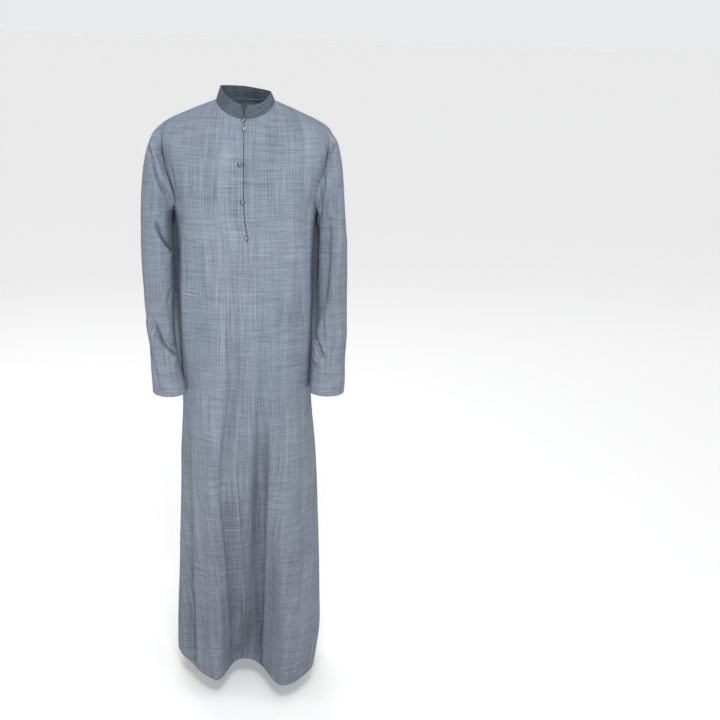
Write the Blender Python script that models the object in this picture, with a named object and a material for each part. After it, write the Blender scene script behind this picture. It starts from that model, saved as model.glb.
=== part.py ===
"""A thobe: a long straight robe with a stand collar, a buttoned placket and straight sleeves.

Metres, +Z up, the front faces -Y, and the wearer's left is +X.
The origin is midway between the two side neck points, where the robe hangs on the shoulders.

The cloth is a thin wall. Its outer surface comes from level rings down the body and from slanted
rings down the sleeves. Neighbouring panels share the points of their seam, and every seam is then
opened by a hair, so that each panel stays a body of its own.
"""

from collections import namedtuple
from math import atan2, cos, degrees, exp, pi, radians, sin, sqrt

import bmesh
import bpy
import numpy as np

# ---------------------------------------------------------------- driving dimensions (metres)

CLOTH = 0.0015  # wall of the body and the sleeves
COLLAR_CLOTH = 0.0024  # the collar is two layers and a stiffener
SEAM = 0.0004  # gap left open along a seam
LIFT = 0.0003  # gap under whatever lies on a panel
FOLDED_BACK = 0.15  # beyond this slope two panels are folded back on each other, and share no normal

NECK_HALF = 0.072  # half the width between the side neck points
NECK_DROP = 0.041  # the front neck point lies this far below them
NECK_DROP_BACK = 0.0  # and the back neck point this far
NECK_CURVE = 1.3  # how the neckline turns up towards the side neck points
SHOULDER_HALF = 0.207  # half the width between the shoulder points
UNDERARM = -0.270  # height of the underarm points
HEM = -1.500  # height of the hem

COLLAR_LEAN = 0.011  # how far the top edge stands in from the base
COLLAR_ROLL = 0.035  # the wearer's right side of the collar stands this much higher, per metre
COLLAR_ROLL_TOP = 0.075
NOTCH_HALF = 0.0012  # half the gap between the collar's ends, at the base
NOTCH_HALF_TOP = 0.0035  # and at the top
CORNER_DROP = 0.0045  # how far the collar's front corners are rounded down

OPENING_X = -0.004  # the line where the placket's two strips meet
OVER_WIDE = 0.024  # the upper strip, on the wearer's right
UNDER_WIDE = 0.011  # the lower strip, on the wearer's left
OVER_THICK = 0.0015
UNDER_THICK = 0.0008
SLIT_HALF = 0.0003  # half the width of the slit behind them
SLIT_END = -0.380
PLACKET_END = -0.4575
STRIP_CLEAR = 0.0015  # the strips start this far below the collar

BUTTON_ACROSS = 0.011
BUTTON_DOME = 0.0045
SHANK_ACROSS = 0.0036
SHANK_TALL = 0.0022
RIM_RISE = 0.0004  # the button's underside rises this far from the shank to the rim
RIM_TALL = 0.0016  # and the widest part lies this far above the shank
UNDERSIDE = 0.80  # the underside reaches out to this part of the radius

# ---------------------------------------------------------------- tables

# The collar's height by the angle round the neck, from centre front to centre back.
Stand = namedtuple("Stand", "degrees tall")
COLLAR_HEIGHT = (
    Stand(0, 0.0325),
    Stand(45, 0.0300),
    Stand(90, 0.0275),
    Stand(135, 0.0295),
    Stand(180, 0.0310),
)

# The body's level rings. The depths run from the side seams to the front and to the back. A square
# of 2 is an ellipse and more is squarer, on the wearer's right front, left front and back.
Ring = namedtuple(
    "Ring",
    "height half_width centre_x front_depth back_depth right_square left_square back_square",
)
RINGS = (
    Ring(0.00, 0.222, 0.000, 0.121, 0.108, 2.5, 2.5, 2.5),
    Ring(-0.10, 0.220, 0.000, 0.123, 0.113, 2.5, 2.5, 2.5),
    Ring(-0.20, 0.201, 0.000, 0.126, 0.117, 2.5, 2.5, 2.5),
    Ring(-0.27, 0.178, 0.000, 0.128, 0.117, 2.4, 2.5, 2.4),
    Ring(-0.35, 0.1705, 0.001, 0.130, 0.116, 2.4, 2.5, 2.4),
    Ring(-0.50, 0.1710, 0.001, 0.134, 0.118, 2.4, 2.5, 2.4),
    Ring(-0.65, 0.1705, 0.002, 0.138, 0.123, 2.4, 2.5, 2.4),
    Ring(-0.76, 0.1680, 0.005, 0.144, 0.130, 2.4, 2.5, 2.4),
    Ring(-0.90, 0.1770, 0.009, 0.160, 0.142, 2.2, 2.5, 2.4),
    Ring(-1.10, 0.1860, 0.011, 0.184, 0.160, 1.9, 2.6, 2.3),
    Ring(-1.30, 0.1930, 0.011, 0.210, 0.178, 1.6, 2.8, 2.3),
    Ring(-1.42, 0.1960, 0.009, 0.226, 0.189, 1.5, 2.9, 2.3),
    Ring(-1.50, 0.1905, 0.003, 0.236, 0.196, 1.5, 3.0, 2.3),
)

# The shoulder line: the ridge where the front and the back meet, by distance from the middle.
Ridge = namedtuple("Ridge", "across height")
SHOULDER_LINE = (
    Ridge(-0.036, 0.0155),
    Ridge(0.000, 0.0255),
    Ridge(0.036, 0.0155),
    Ridge(0.072, 0.000),
    Ridge(0.110, -0.015),
    Ridge(0.145, -0.030),
    Ridge(0.184, -0.048),
    Ridge(0.207, -0.063),
    Ridge(0.222, -0.078),
)

# How the cloth rounds from the shoulder line down to the chest and to the shoulder blades.
Slope = namedtuple("Slope", "level middle_round side_round")
CHEST = Slope(-0.190, 1.4, 1.8)
BLADES = Slope(-0.170, 2.0, 2.0)

# The armhole, by height, from the shoulder point to the underarm point.
Armhole = namedtuple("Armhole", "height across")
ARMHOLE = (
    Armhole(-0.063, 0.207),
    Armhole(-0.100, 0.2045),
    Armhole(-0.150, 0.1960),
    Armhole(-0.200, 0.1800),
    Armhole(-0.240, 0.1710),
    Armhole(-0.270, 0.1780),
)

# The folds of the body. A fold runs down the panel at a distance along the cloth from the panel's
# middle. It starts at the top, is full at the peak and has gone at the foot. A negative depth is a
# ridge. A flatness of 2 is a rounded fold and more has a flatter bottom.
Fold = namedtuple("Fold", "panel across breadth depth top peak foot flatness")
FOLDS = (
    Fold("front", -0.001, 0.062, 0.152, -0.66, -1.56, -9.0, 4.0),
    Fold("front", -0.205, 0.030, 0.008, -0.90, -1.40, -9.0, 2.0),
    Fold("front", 0.170, 0.026, 0.009, -0.85, -1.35, -9.0, 2.0),
    Fold("back", -0.105, 0.036, 0.030, -0.40, -1.40, -9.0, 2.0),
    Fold("back", 0.012, 0.034, 0.036, -0.55, -1.45, -9.0, 2.0),
    Fold("back", 0.120, 0.036, 0.032, -0.45, -1.40, -9.0, 2.0),
    Fold("back", -0.195, 0.028, -0.030, -0.24, -0.42, -0.74, 2.0),
    Fold("back", 0.195, 0.028, -0.030, -0.24, -0.42, -0.74, 2.0),
)

SEAM_FADE = 0.035  # the folds fade out over this distance from a side seam

# The front's middle line drifts a little sideways on its way down.
Drift = namedtuple("Drift", "height shift")
MIDDLE_DRIFT = (
    Drift(0.00, 0.0000),
    Drift(-0.20, -0.0010),
    Drift(-0.26, 0.0000),
    Drift(-0.32, 0.0065),
    Drift(-0.46, 0.0100),
    Drift(-0.80, 0.0040),
    Drift(-1.50, 0.0000),
)
DRIFT_REACH = 0.140  # it has faded out at this distance from the middle
DRIFT_START = (-0.070, -0.130)  # and it sets in between these heights

# The buttons, from the top. Each sits on the opening line, or hangs a little to the wearer's right
# of it on its loop.
Button = namedtuple("Button", "height aside")
BUTTONS = (
    Button(-0.0470, 0.0000),
    Button(-0.0644, 0.0000),
    Button(-0.1444, 0.0085),
    Button(-0.2335, 0.0030),
    Button(-0.3200, 0.0000),
)

# The sleeves' slanted rings, from the armhole to the cuff edge: where the ring meets the sleeve's
# outer and inner line seen from the front, how far forward its middle lies, and half its depth.
Cuff = namedtuple("Cuff", "outer_x outer_z inner_x inner_z forward half_depth")
SLEEVE_RIGHT = (
    Cuff(0.2070, -0.063, 0.1780, -0.270, 0.000, 0.076),
    Cuff(0.2235, -0.079, 0.1795, -0.274, 0.000, 0.077),
    Cuff(0.2365, -0.103, 0.1810, -0.280, 0.000, 0.077),
    Cuff(0.2495, -0.151, 0.1830, -0.293, 0.000, 0.075),
    Cuff(0.2570, -0.210, 0.1835, -0.316, 0.000, 0.071),
    Cuff(0.2605, -0.280, 0.1835, -0.348, 0.000, 0.067),
    Cuff(0.2620, -0.350, 0.1825, -0.390, 0.000, 0.064),
    Cuff(0.2590, -0.425, 0.1800, -0.442, 0.004, 0.062),
    Cuff(0.2545, -0.505, 0.1810, -0.505, 0.020, 0.060),
    Cuff(0.2460, -0.575, 0.1800, -0.575, 0.042, 0.056),
    Cuff(0.2400, -0.640, 0.1700, -0.640, 0.062, 0.052),
    Cuff(0.2365, -0.690, 0.1570, -0.690, 0.078, 0.050),
    Cuff(0.2335, -0.722, 0.1490, -0.722, 0.087, 0.050),
)
SLEEVE_LEFT = (
    Cuff(0.2070, -0.063, 0.1780, -0.270, 0.000, 0.076),
    Cuff(0.2180, -0.078, 0.1795, -0.274, 0.000, 0.077),
    Cuff(0.2300, -0.100, 0.1815, -0.280, 0.000, 0.077),
    Cuff(0.2405, -0.150, 0.1845, -0.293, 0.000, 0.075),
    Cuff(0.2465, -0.210, 0.1865, -0.316, 0.000, 0.071),
    Cuff(0.2510, -0.280, 0.1875, -0.348, 0.000, 0.067),
    Cuff(0.2560, -0.350, 0.1875, -0.390, 0.000, 0.064),
    Cuff(0.2600, -0.430, 0.1870, -0.442, 0.004, 0.062),
    Cuff(0.2612, -0.505, 0.1860, -0.505, 0.020, 0.060),
    Cuff(0.2600, -0.575, 0.1800, -0.575, 0.042, 0.056),
    Cuff(0.2560, -0.640, 0.1690, -0.640, 0.062, 0.052),
    Cuff(0.2550, -0.690, 0.1660, -0.690, 0.078, 0.050),
    Cuff(0.2530, -0.722, 0.1635, -0.722, 0.087, 0.050),
)
SLEEVE_SQUARE = 2.2  # how square a sleeve's rings are, where 2 is an ellipse
ARMHOLE_PULL = 5  # how sharply the columns next to the armhole follow its curve
ARMHOLE_REACH = 0.16  # the sleeve has left the armhole's own outline by this part of its length

# ---------------------------------------------------------------- how finely the cloth is cut

UPPER_ROWS = 8  # rows of cloth from the shoulder line to the underarm
LOWER_ROWS = (
    (-0.32, SLIT_END, PLACKET_END, -0.54, -0.63, -0.72)
    + (-0.80, -0.89, -0.99, -1.10, -1.22, -1.36, HEM)
)
SLIT_ROWS = UPPER_ROWS + 2  # the slit runs down this many rows
PLACKET_ROWS = UPPER_ROWS + 3  # and the strips this many
SHOULDER_COLUMNS = 6  # columns from the side neck point to the shoulder point
SLEEVE_ROWS = 18
COLLAR_ROWS = 3
BUTTON_SIDES = 12


# ---------------------------------------------------------------- reading the tables


def read(table, key, value, at):
    """Reads a column of a table at a place between its rows, along a smooth curve."""
    keys = np.array([getattr(row, key) for row in table], float)
    values = np.array([getattr(row, value) for row in table], float)
    if keys[0] > keys[-1]:
        keys = keys[::-1]
        values = values[::-1]
    slopes = np.gradient(values, keys)
    at = min(max(at, keys[0]), keys[-1])
    row = min(int(np.searchsorted(keys, at, side="right")) - 1, len(keys) - 2)
    step = keys[row + 1] - keys[row]
    t = (at - keys[row]) / step
    start = values[row] * (1 + 2 * t) * (1 - t) ** 2 + slopes[row] * step * t * (1 - t) ** 2
    end = values[row + 1] * t * t * (3 - 2 * t) + slopes[row + 1] * step * t * t * (t - 1)
    return start + end


def ease(start, end, at):
    """Rises smoothly from 0 at the start to 1 at the end."""
    t = min(max((at - start) / (end - start), 0.0), 1.0)
    return t * t * (3 - 2 * t)


# ---------------------------------------------------------------- the body's outer surface


def square_of(panel, side, height):
    """Gives how square a ring is on one panel, to the wearer's right (-1) or left (+1)."""
    if panel == "back":
        return read(RINGS, "height", "back_square", height)
    return read(RINGS, "height", "left_square" if side > 0 else "right_square", height)


def depth_of(panel, height):
    """Gives the depth of a ring on one panel, from the side seams."""
    return read(RINGS, "height", "front_depth" if panel == "front" else "back_depth", height)


def ring_offset(panel, angle, height):
    """Gives a ring's plain x and depth at an angle from the panel's middle."""
    wide = read(RINGS, "height", "half_width", height)
    deep = depth_of(panel, height)
    power = square_of(panel, 1 if angle > 0 else -1, height)
    across = abs(sin(angle)) / wide
    along = abs(cos(angle)) / deep
    reach = (across**power + along**power) ** (-1 / power)
    return reach * sin(angle), reach * max(cos(angle), 0.0)


def cloth_distances(panel, height):
    """Gives angles round a panel, and the distance of each along the cloth from its middle."""
    angles = np.linspace(-pi / 2, pi / 2, 91)
    points = np.array([ring_offset(panel, angle, height) for angle in angles])
    steps = np.linalg.norm(np.diff(points, axis=0), axis=1)
    travelled = np.concatenate([[0.0], np.cumsum(steps)])
    return angles, travelled - np.interp(0.0, angles, travelled)


def fold_depth(panel, distance, room, height):
    """Adds up a panel's folds at a distance from its middle. They fade out towards its side seams."""
    total = 0.0
    for fold in FOLDS:
        if fold.panel == panel:
            rise = ease(fold.top, fold.peak, height) * (1 - ease(fold.peak, fold.foot, height))
            shape = exp(-abs((distance - fold.across) / fold.breadth) ** fold.flatness)
            total += fold.depth * rise * shape
    return total * ease(0.0, SEAM_FADE, room)


def lower_point(panel, angle, height, distances):
    """Gives a point of the body below the underarm."""
    face = -1 if panel == "front" else 1
    x, deep = ring_offset(panel, angle, height)
    distance = np.interp(angle, *distances)
    room = min(distances[1][-1] - distance, distance - distances[1][0])
    fold = fold_depth(panel, distance, room, height)
    tilt = angle * (angle / (pi / 2)) ** 2
    x -= fold * sin(tilt)
    deep -= fold * cos(tilt)
    if panel == "front":
        x += drift(x, height)
    return np.array([x + read(RINGS, "height", "centre_x", height), face * deep, height])


def drift(x, height):
    """Gives the sideways drift of the front's middle line."""
    strength = ease(*DRIFT_START, height) * (1 - ease(0, DRIFT_REACH, abs(x)))
    return read(MIDDLE_DRIFT, "height", "shift", height) * strength


def upper_depth(panel, x, height):
    """Gives how far the cloth stands out above the underarm, between shoulder line and chest."""
    slope = CHEST if panel == "front" else BLADES
    wide = read(RINGS, "height", "half_width", height)
    power = square_of(panel, 1 if x > 0 else -1, height)
    ridge = read(SHOULDER_LINE, "across", "height", abs(x))
    up = min(max((height - slope.level) / (ridge - slope.level), 0.0), 1.0)
    rounding = slope.middle_round + (slope.side_round - slope.middle_round) * abs(x) / SHOULDER_HALF
    level = (1 - min(abs(x) / wide, 1.0) ** power) ** (1 / power)
    return depth_of(panel, height) * level * (1 - up**rounding) ** (1 / rounding)


def top_edge(panel, key):
    """Gives x and height of a column's top: on the neckline, or on the shoulder seam beyond it."""
    width = read(RINGS, "height", "half_width", UNDERARM)
    if abs(key) <= NECK_HALF:
        drop = NECK_DROP if panel == "front" else NECK_DROP_BACK
        turn = sqrt(max(1 - (key / NECK_HALF) ** 2, 0.0)) ** NECK_CURVE
        return key, -drop * turn
    stretch = (abs(key) - NECK_HALF) / (width - NECK_HALF)
    x = abs(key) + (SHOULDER_HALF - width) * stretch
    return x * (1 if key > 0 else -1), read(SHOULDER_LINE, "across", "height", x)


def upper_point(panel, key, row, distances):
    """Gives a point of the body above the underarm, in a column named by its x at the underarm."""
    face = -1 if panel == "front" else 1
    width = read(RINGS, "height", "half_width", UNDERARM)
    side = 1 if key > 0 else -1
    down = (1 - cos(pi * row / UPPER_ROWS)) / 2
    top_x, top_z = top_edge(panel, key)
    height = top_z + (UNDERARM - top_z) * down
    if row == UPPER_ROWS:
        return lower_point(panel, column_angle(panel, key), UNDERARM, distances)
    along_armhole = ARMHOLE[0].height + (UNDERARM - ARMHOLE[0].height) * down
    corner = read(ARMHOLE, "height", "across", along_armhole)
    straight = SHOULDER_HALF + (width - SHOULDER_HALF) * down
    pull = (corner - straight) * abs(key / width) ** ARMHOLE_PULL
    x = top_x + (key - top_x) * down + side * pull
    deep = upper_depth(panel, x, height)
    if panel == "front":
        x += drift(x, height)
    return np.array([x, face * deep, height])


def column_angle(panel, key):
    """Gives the angle of a column named by its x at the underarm."""
    angles = np.linspace(-pi / 2, pi / 2, 721)
    places = [ring_offset(panel, angle, UNDERARM)[0] for angle in angles]
    return float(np.interp(key, places, angles))


def columns_of(panel):
    """Names the columns of a panel by their x at the underarm, from the wearer's right to left."""
    width = read(RINGS, "height", "half_width", UNDERARM)
    neck_angle = column_angle("front", NECK_HALF)
    shoulder = [
        ring_offset("front", neck_angle + (pi / 2 - neck_angle) * step / SHOULDER_COLUMNS, UNDERARM)[0]
        for step in range(1, SHOULDER_COLUMNS)
    ] + [width]
    neck = [NECK_HALF * sin(radians(turn)) for turn in (30, 45, 60, 75, 90)]
    left = neck + shoulder
    if panel == "back":
        middle = [-NECK_HALF * sin(radians(15)), 0.0, NECK_HALF * sin(radians(15))]
        return [-x for x in reversed(left)] + middle + left
    middle = [OPENING_X - OVER_WIDE, OPENING_X - OVER_WIDE / 2, OPENING_X, OPENING_X + UNDER_WIDE, 0.021]
    right = [-x for x in reversed(left) if x > NECK_HALF * sin(radians(35))] + [-0.039]
    return right + middle + left


def body_grid(panel):
    """Gives a panel's outer points, row by row from the top edge to the hem."""
    keys = columns_of(panel)
    angles = [column_angle(panel, key) for key in keys]
    underarm = cloth_distances(panel, UNDERARM)
    rows = [[upper_point(panel, key, row, underarm) for key in keys] for row in range(UPPER_ROWS + 1)]
    for height in LOWER_ROWS:
        distances = cloth_distances(panel, height)
        rows.append([lower_point(panel, angle, height, distances) for angle in angles])
    return np.array(rows), keys


# ---------------------------------------------------------------- the sleeves' outer surface


SleeveRow = namedtuple("SleeveRow", Cuff._fields + ("along",))


def sleeve_grid(table, side, front, back):
    """Gives a sleeve's outer points, ring by ring. The first ring is the armhole of both panels."""
    edge = -1 if side > 0 else 0
    front_edge = front[: UPPER_ROWS + 1, edge]
    back_edge = back[: UPPER_ROWS + 1, edge]
    armhole = np.concatenate([front_edge, back_edge[-2:0:-1]])
    turns = len(armhole)
    keys = np.linspace(0, 1, len(table))
    numbered = [SleeveRow(*row, key) for row, key in zip(table, keys)]
    rings = []
    first = oval(numbered, 0.0, side, turns)
    for step in range(SLEEVE_ROWS + 1):
        along = step / SLEEVE_ROWS
        leave = 1 - ease(0, ARMHOLE_REACH, along)
        rings.append(oval(numbered, along, side, turns) + leave * (armhole - first))
    return np.array(rings)


def oval(table, along, side, turns):
    """Gives one slanted ring of a sleeve, from its outer line round by the front."""
    place = {field: read(table, "along", field, along) for field in SleeveRow._fields}
    outer = np.array([side * place["outer_x"], -place["forward"], place["outer_z"]])
    inner = np.array([side * place["inner_x"], -place["forward"], place["inner_z"]])
    middle = (outer + inner) / 2
    half = (outer - inner) / 2
    ring = []
    for turn in range(turns):
        angle = 2 * pi * turn / turns
        across = cos(angle)
        front = sin(angle)
        reach = (abs(across) ** SLEEVE_SQUARE + abs(front) ** SLEEVE_SQUARE) ** (-1 / SLEEVE_SQUARE)
        forward = np.array([0, -front * reach * place["half_depth"], 0])
        ring.append(middle + half * across * reach + forward)
    return np.array(ring)


# ---------------------------------------------------------------- sheets: points and faces


class Sheet:
    """The outer surface of one piece of cloth, as points and faces."""

    def __init__(self, name, grid, closed_round=False, outward=True):
        self.name = name
        self.rows, self.columns = grid.shape[:2]
        self.points = [point for row in grid for point in row]
        self.copies = {}
        self.faces = []
        around = self.columns if closed_round else self.columns - 1
        for row in range(self.rows - 1):
            for column in range(around):
                after = (column + 1) % self.columns
                face = (
                    self.number(row, column),
                    self.number(row + 1, column),
                    self.number(row + 1, after),
                    self.number(row, after),
                )
                self.faces.append(face if outward else face[::-1])

    def number(self, row, column):
        """Gives the number of a point of the grid."""
        return row * self.columns + column

    def cut_slit(self, column, rows, half):
        """Opens the sheet from its top edge down one column, and keeps the number of each copy."""
        for row in range(rows):
            old = self.number(row, column)
            self.copies[old] = len(self.points)
            self.points.append(self.points[old] + np.array([half, 0, 0]))
            self.points[old] = self.points[old] - np.array([half, 0, 0])
        for index, face in enumerate(self.faces):
            beyond = any(point % self.columns > column for point in face)
            if beyond:
                self.faces[index] = tuple(self.copies.get(point, point) for point in face)

    def face_normals(self):
        """Gives the area vector of each face."""
        vectors = []
        for a, b, c, d in self.faces:
            first = self.points[c] - self.points[a]
            second = self.points[d] - self.points[b]
            vectors.append(np.cross(first, second) / 2)
        return vectors

    def point_normals(self):
        """Gives the summed area vector at each point."""
        sums = np.zeros((len(self.points), 3))
        for face, vector in zip(self.faces, self.face_normals()):
            for point in face:
                sums[point] += vector
        return sums

    def edge_pairs(self):
        """Gives the sheet's border edges, in the direction their own face runs."""
        seen = {}
        for face in self.faces:
            for start, end in zip(face, face[1:] + face[:1]):
                seen[(start, end)] = True
        return [pair for pair in seen if (pair[1], pair[0]) not in seen]


def place_key(point):
    """Gives a key that points at the same place share."""
    return tuple(int(round(value * 1e6)) for value in point)


def sew(sheets):
    """Works out each sheet's normals across the seams, then opens the seams by a hair."""
    meetings = {}
    for sheet in sheets:
        sums = sheet.point_normals()
        pairs = sheet.edge_pairs()
        sheet.border_next = dict(pairs)
        sheet.border_last = {end: start for start, end in pairs}
        for index, point in enumerate(sheet.points):
            meetings.setdefault(place_key(point), []).append((sheet, index, sums[index]))
    normals = {sheet.name: np.zeros((len(sheet.points), 3)) for sheet in sheets}
    moves = []
    for corners in meetings.values():
        shared = len(corners) > 1
        inwards = [inward(sheet, index, unit(total)) if shared else None for sheet, index, total in corners]
        for sheet, index, total in corners:
            mean = np.zeros(3)
            for (other, _, other_total), toward in zip(corners, inwards):
                if other is sheet or toward @ unit(total) < FOLDED_BACK:
                    mean += other_total
            normals[sheet.name][index] = unit(mean)
        if shared:
            moves += [(sheet, index, toward) for (sheet, index, _), toward in zip(corners, inwards)]
    for sheet, index, toward in moves:
        sheet.points[index] = sheet.points[index] + toward * SEAM / 2
    return normals


def unit(vector):
    """Gives a vector's direction."""
    return vector / np.linalg.norm(vector)


def inward(sheet, index, normal):
    """Gives the direction from a border point into its own sheet, square to the border."""
    after = sheet.points[sheet.border_next[index]]
    before = sheet.points[sheet.border_last[index]]
    return unit(np.cross(normal, after - before))


def halves(sheet):
    """Cuts each face of a sheet in two along its shorter diagonal."""
    cut = []
    for a, b, c, d in sheet.faces:
        first = np.linalg.norm(sheet.points[c] - sheet.points[a])
        second = np.linalg.norm(sheet.points[d] - sheet.points[b])
        cut += [(a, b, c), (a, c, d)] if first <= second else [(a, b, d), (b, c, d)]
    return cut


def wall(sheet, normals, inner, outer=0.0):
    """Gives the points and faces of a closed wall between two depths from the sheet."""
    count = len(sheet.points)
    points = [point + normal * outer for point, normal in zip(sheet.points, normals)]
    points += [point + normal * inner for point, normal in zip(sheet.points, normals)]
    faces = halves(sheet)
    faces += [tuple(point + count for point in reversed(face)) for face in faces]
    faces += [(end, start, start + count, end + count) for start, end in sheet.edge_pairs()]
    return points, faces


# ---------------------------------------------------------------- Blender objects


def material(name, colour, roughness, metallic=0.0):
    """Makes one plain material."""
    made = bpy.data.materials.new(name)
    made.use_nodes = True
    shader = made.node_tree.nodes["Principled BSDF"]
    shader.inputs["Base Color"].default_value = (*colour, 1.0)
    shader.inputs["Roughness"].default_value = roughness
    shader.inputs["Metallic"].default_value = metallic
    return made


def solid(name, points, faces, made):
    """Makes one closed object, with its faces split into triangles and turned outward."""
    mesh = bpy.data.meshes.new(name)
    mesh.from_pydata([tuple(point) for point in points], [], faces)
    work = bmesh.new()
    work.from_mesh(mesh)
    bmesh.ops.triangulate(work, faces=work.faces[:], quad_method="FIXED")
    bmesh.ops.recalc_face_normals(work, faces=work.faces[:])
    work.to_mesh(mesh)
    work.free()
    mesh.materials.append(made)
    made_object = bpy.data.objects.new(name, mesh)
    bpy.context.scene.collection.objects.link(made_object)
    mesh.shade_smooth()
    mesh.set_sharp_from_angle(angle=radians(50))
    return made_object


# ---------------------------------------------------------------- collar


def collar_grid(front, front_keys, back, back_keys):
    """Gives the collar's outer points in columns round the neck, from one end of it to the other."""
    front_neck = [front[0, column] for column, key in enumerate(front_keys) if abs(key) <= NECK_HALF + 1e-6]
    back_neck = [back[0, column] for column, key in enumerate(back_keys) if abs(key) < NECK_HALF - 1e-6]
    middle = min(range(len(front_neck)), key=lambda index: abs(front_neck[index][0] - OPENING_X))
    loop = front_neck[middle:] + back_neck[::-1] + front_neck[: middle + 1]
    grid = []
    for row in range(COLLAR_ROWS + 1):
        up = row / COLLAR_ROWS
        line = []
        for index, base in enumerate(loop):
            out = np.array([base[0], base[1], 0.0])
            out = out / np.linalg.norm(out)
            roll = COLLAR_ROLL + (COLLAR_ROLL_TOP - COLLAR_ROLL) * up
            corner = end_corner(index, len(loop), up)
            turn = degrees(atan2(abs(base[0]), -base[1]))
            rise = (read(COLLAR_HEIGHT, "degrees", "tall", turn) - corner) * up + SEAM
            point = base - out * COLLAR_LEAN * up + np.array([0, 0, rise - roll * base[0] * up])
            end = (index == 0) - (index == len(loop) - 1)
            point[0] += end * (NOTCH_HALF + (NOTCH_HALF_TOP - NOTCH_HALF) * up)
            line.append(point)
        grid.append(line)
    return np.array(grid)


def end_corner(index, count, up):
    """Gives how far a point of the collar is rounded down, which its two front corners are."""
    at_end = index in (0, count - 1)
    return CORNER_DROP * up if at_end else 0.0


# ---------------------------------------------------------------- placket and buttons


def strip(front_sheet, normals, columns, rows, right_copy):
    """Takes a strip of the front's own points, its top edge just clear of the collar."""
    points = []
    for row in range(rows + 1):
        for column in columns:
            number = front_sheet.number(row, column)
            if right_copy and column == columns[0]:
                number = front_sheet.copies.get(number, number)
            points.append((front_sheet.points[number], normals[number]))
    wide = len(columns)
    places = np.array([place for place, _ in points]).reshape(rows + 1, wide, 3)
    directions = np.array([direction for _, direction in points]).reshape(rows + 1, wide, 3)
    step = np.linalg.norm(places[1] - places[0], axis=1)
    places[0] += (places[1] - places[0]) * (STRIP_CLEAR / step)[:, None]
    return places, directions


def make_strip(name, front_sheet, normals, columns, right_copy, thick, made):
    """Makes one strip of the placket, lying on the front."""
    places, directions = strip(front_sheet, normals, columns, PLACKET_ROWS, right_copy)
    nudge = SLIT_HALF * (1 if right_copy else -1)
    opening = 0 if right_copy else -1
    for row in range(places.shape[0]):
        if row >= SLIT_ROWS:
            places[row, opening, 0] += nudge
    sheet = Sheet(name, places)
    points, faces = wall(sheet, directions.reshape(-1, 3), LIFT, LIFT + thick)
    return solid(name, points, faces, made)


def button_seat(front_sheet, normals, opening, button):
    """Gives the place under a button and the cloth's direction there."""
    on_line, ahead = on_column(front_sheet, normals, opening, button.height)
    beside, ahead_beside = on_column(front_sheet, normals, opening - 1, button.height)
    part = button.aside / (OVER_WIDE / 2)
    return on_line + (beside - on_line) * part, unit(ahead + (ahead_beside - ahead) * part)


def on_column(front_sheet, normals, column, height):
    """Gives the place and the direction of the front's surface at a height on one column."""
    for row in range(front_sheet.rows - 1):
        upper = front_sheet.points[front_sheet.number(row, column)]
        lower = front_sheet.points[front_sheet.number(row + 1, column)]
        if upper[2] >= height >= lower[2]:
            part = (upper[2] - height) / (upper[2] - lower[2])
            first = normals[front_sheet.number(row, column)]
            second = normals[front_sheet.number(row + 1, column)]
            direction = first + (second - first) * part
            return upper + (lower - upper) * part, unit(direction)
    raise ValueError("the button lies off the column")


def button_profile():
    """Gives the button's outline as radius and height, from the foot of its shank to its top."""
    half = BUTTON_ACROSS / 2
    shank = SHANK_ACROSS / 2
    outline = [(shank, 0.0), (shank, SHANK_TALL), (half * UNDERSIDE, SHANK_TALL + RIM_RISE)]
    rim = SHANK_TALL + RIM_TALL
    for turn in (0.0, pi / 6, pi / 3):
        outline.append((half * cos(turn), rim + BUTTON_DOME * sin(turn)))
    return outline, rim + BUTTON_DOME


def make_button(number, place, direction, made):
    """Makes one domed button, turned about the cloth's own direction."""
    outline, top = button_profile()
    points = []
    for radius, height in outline:
        for side in range(BUTTON_SIDES):
            turn = 2 * pi * side / BUTTON_SIDES
            points.append((radius * cos(turn), radius * sin(turn), height))
    foot = len(points)
    points += [(0, 0, 0), (0, 0, top)]
    faces = []
    for row in range(len(outline) - 1):
        for side in range(BUTTON_SIDES):
            after = (side + 1) % BUTTON_SIDES
            low = row * BUTTON_SIDES
            high = low + BUTTON_SIDES
            faces.append((low + side, low + after, high + after, high + side))
    last = (len(outline) - 1) * BUTTON_SIDES
    for side in range(BUTTON_SIDES):
        after = (side + 1) % BUTTON_SIDES
        faces.append((foot, after, side))
        faces.append((last + side, last + after, foot + 1))
    z_axis = np.array(direction)
    x_axis = np.cross([0, 0, 1], z_axis)
    x_axis = x_axis / np.linalg.norm(x_axis)
    y_axis = np.cross(z_axis, x_axis)
    turned = [place + x_axis * x + y_axis * y + z_axis * z for x, y, z in points]
    return solid(f"button_{number}", turned, faces, made)


# ---------------------------------------------------------------- the whole robe


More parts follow.
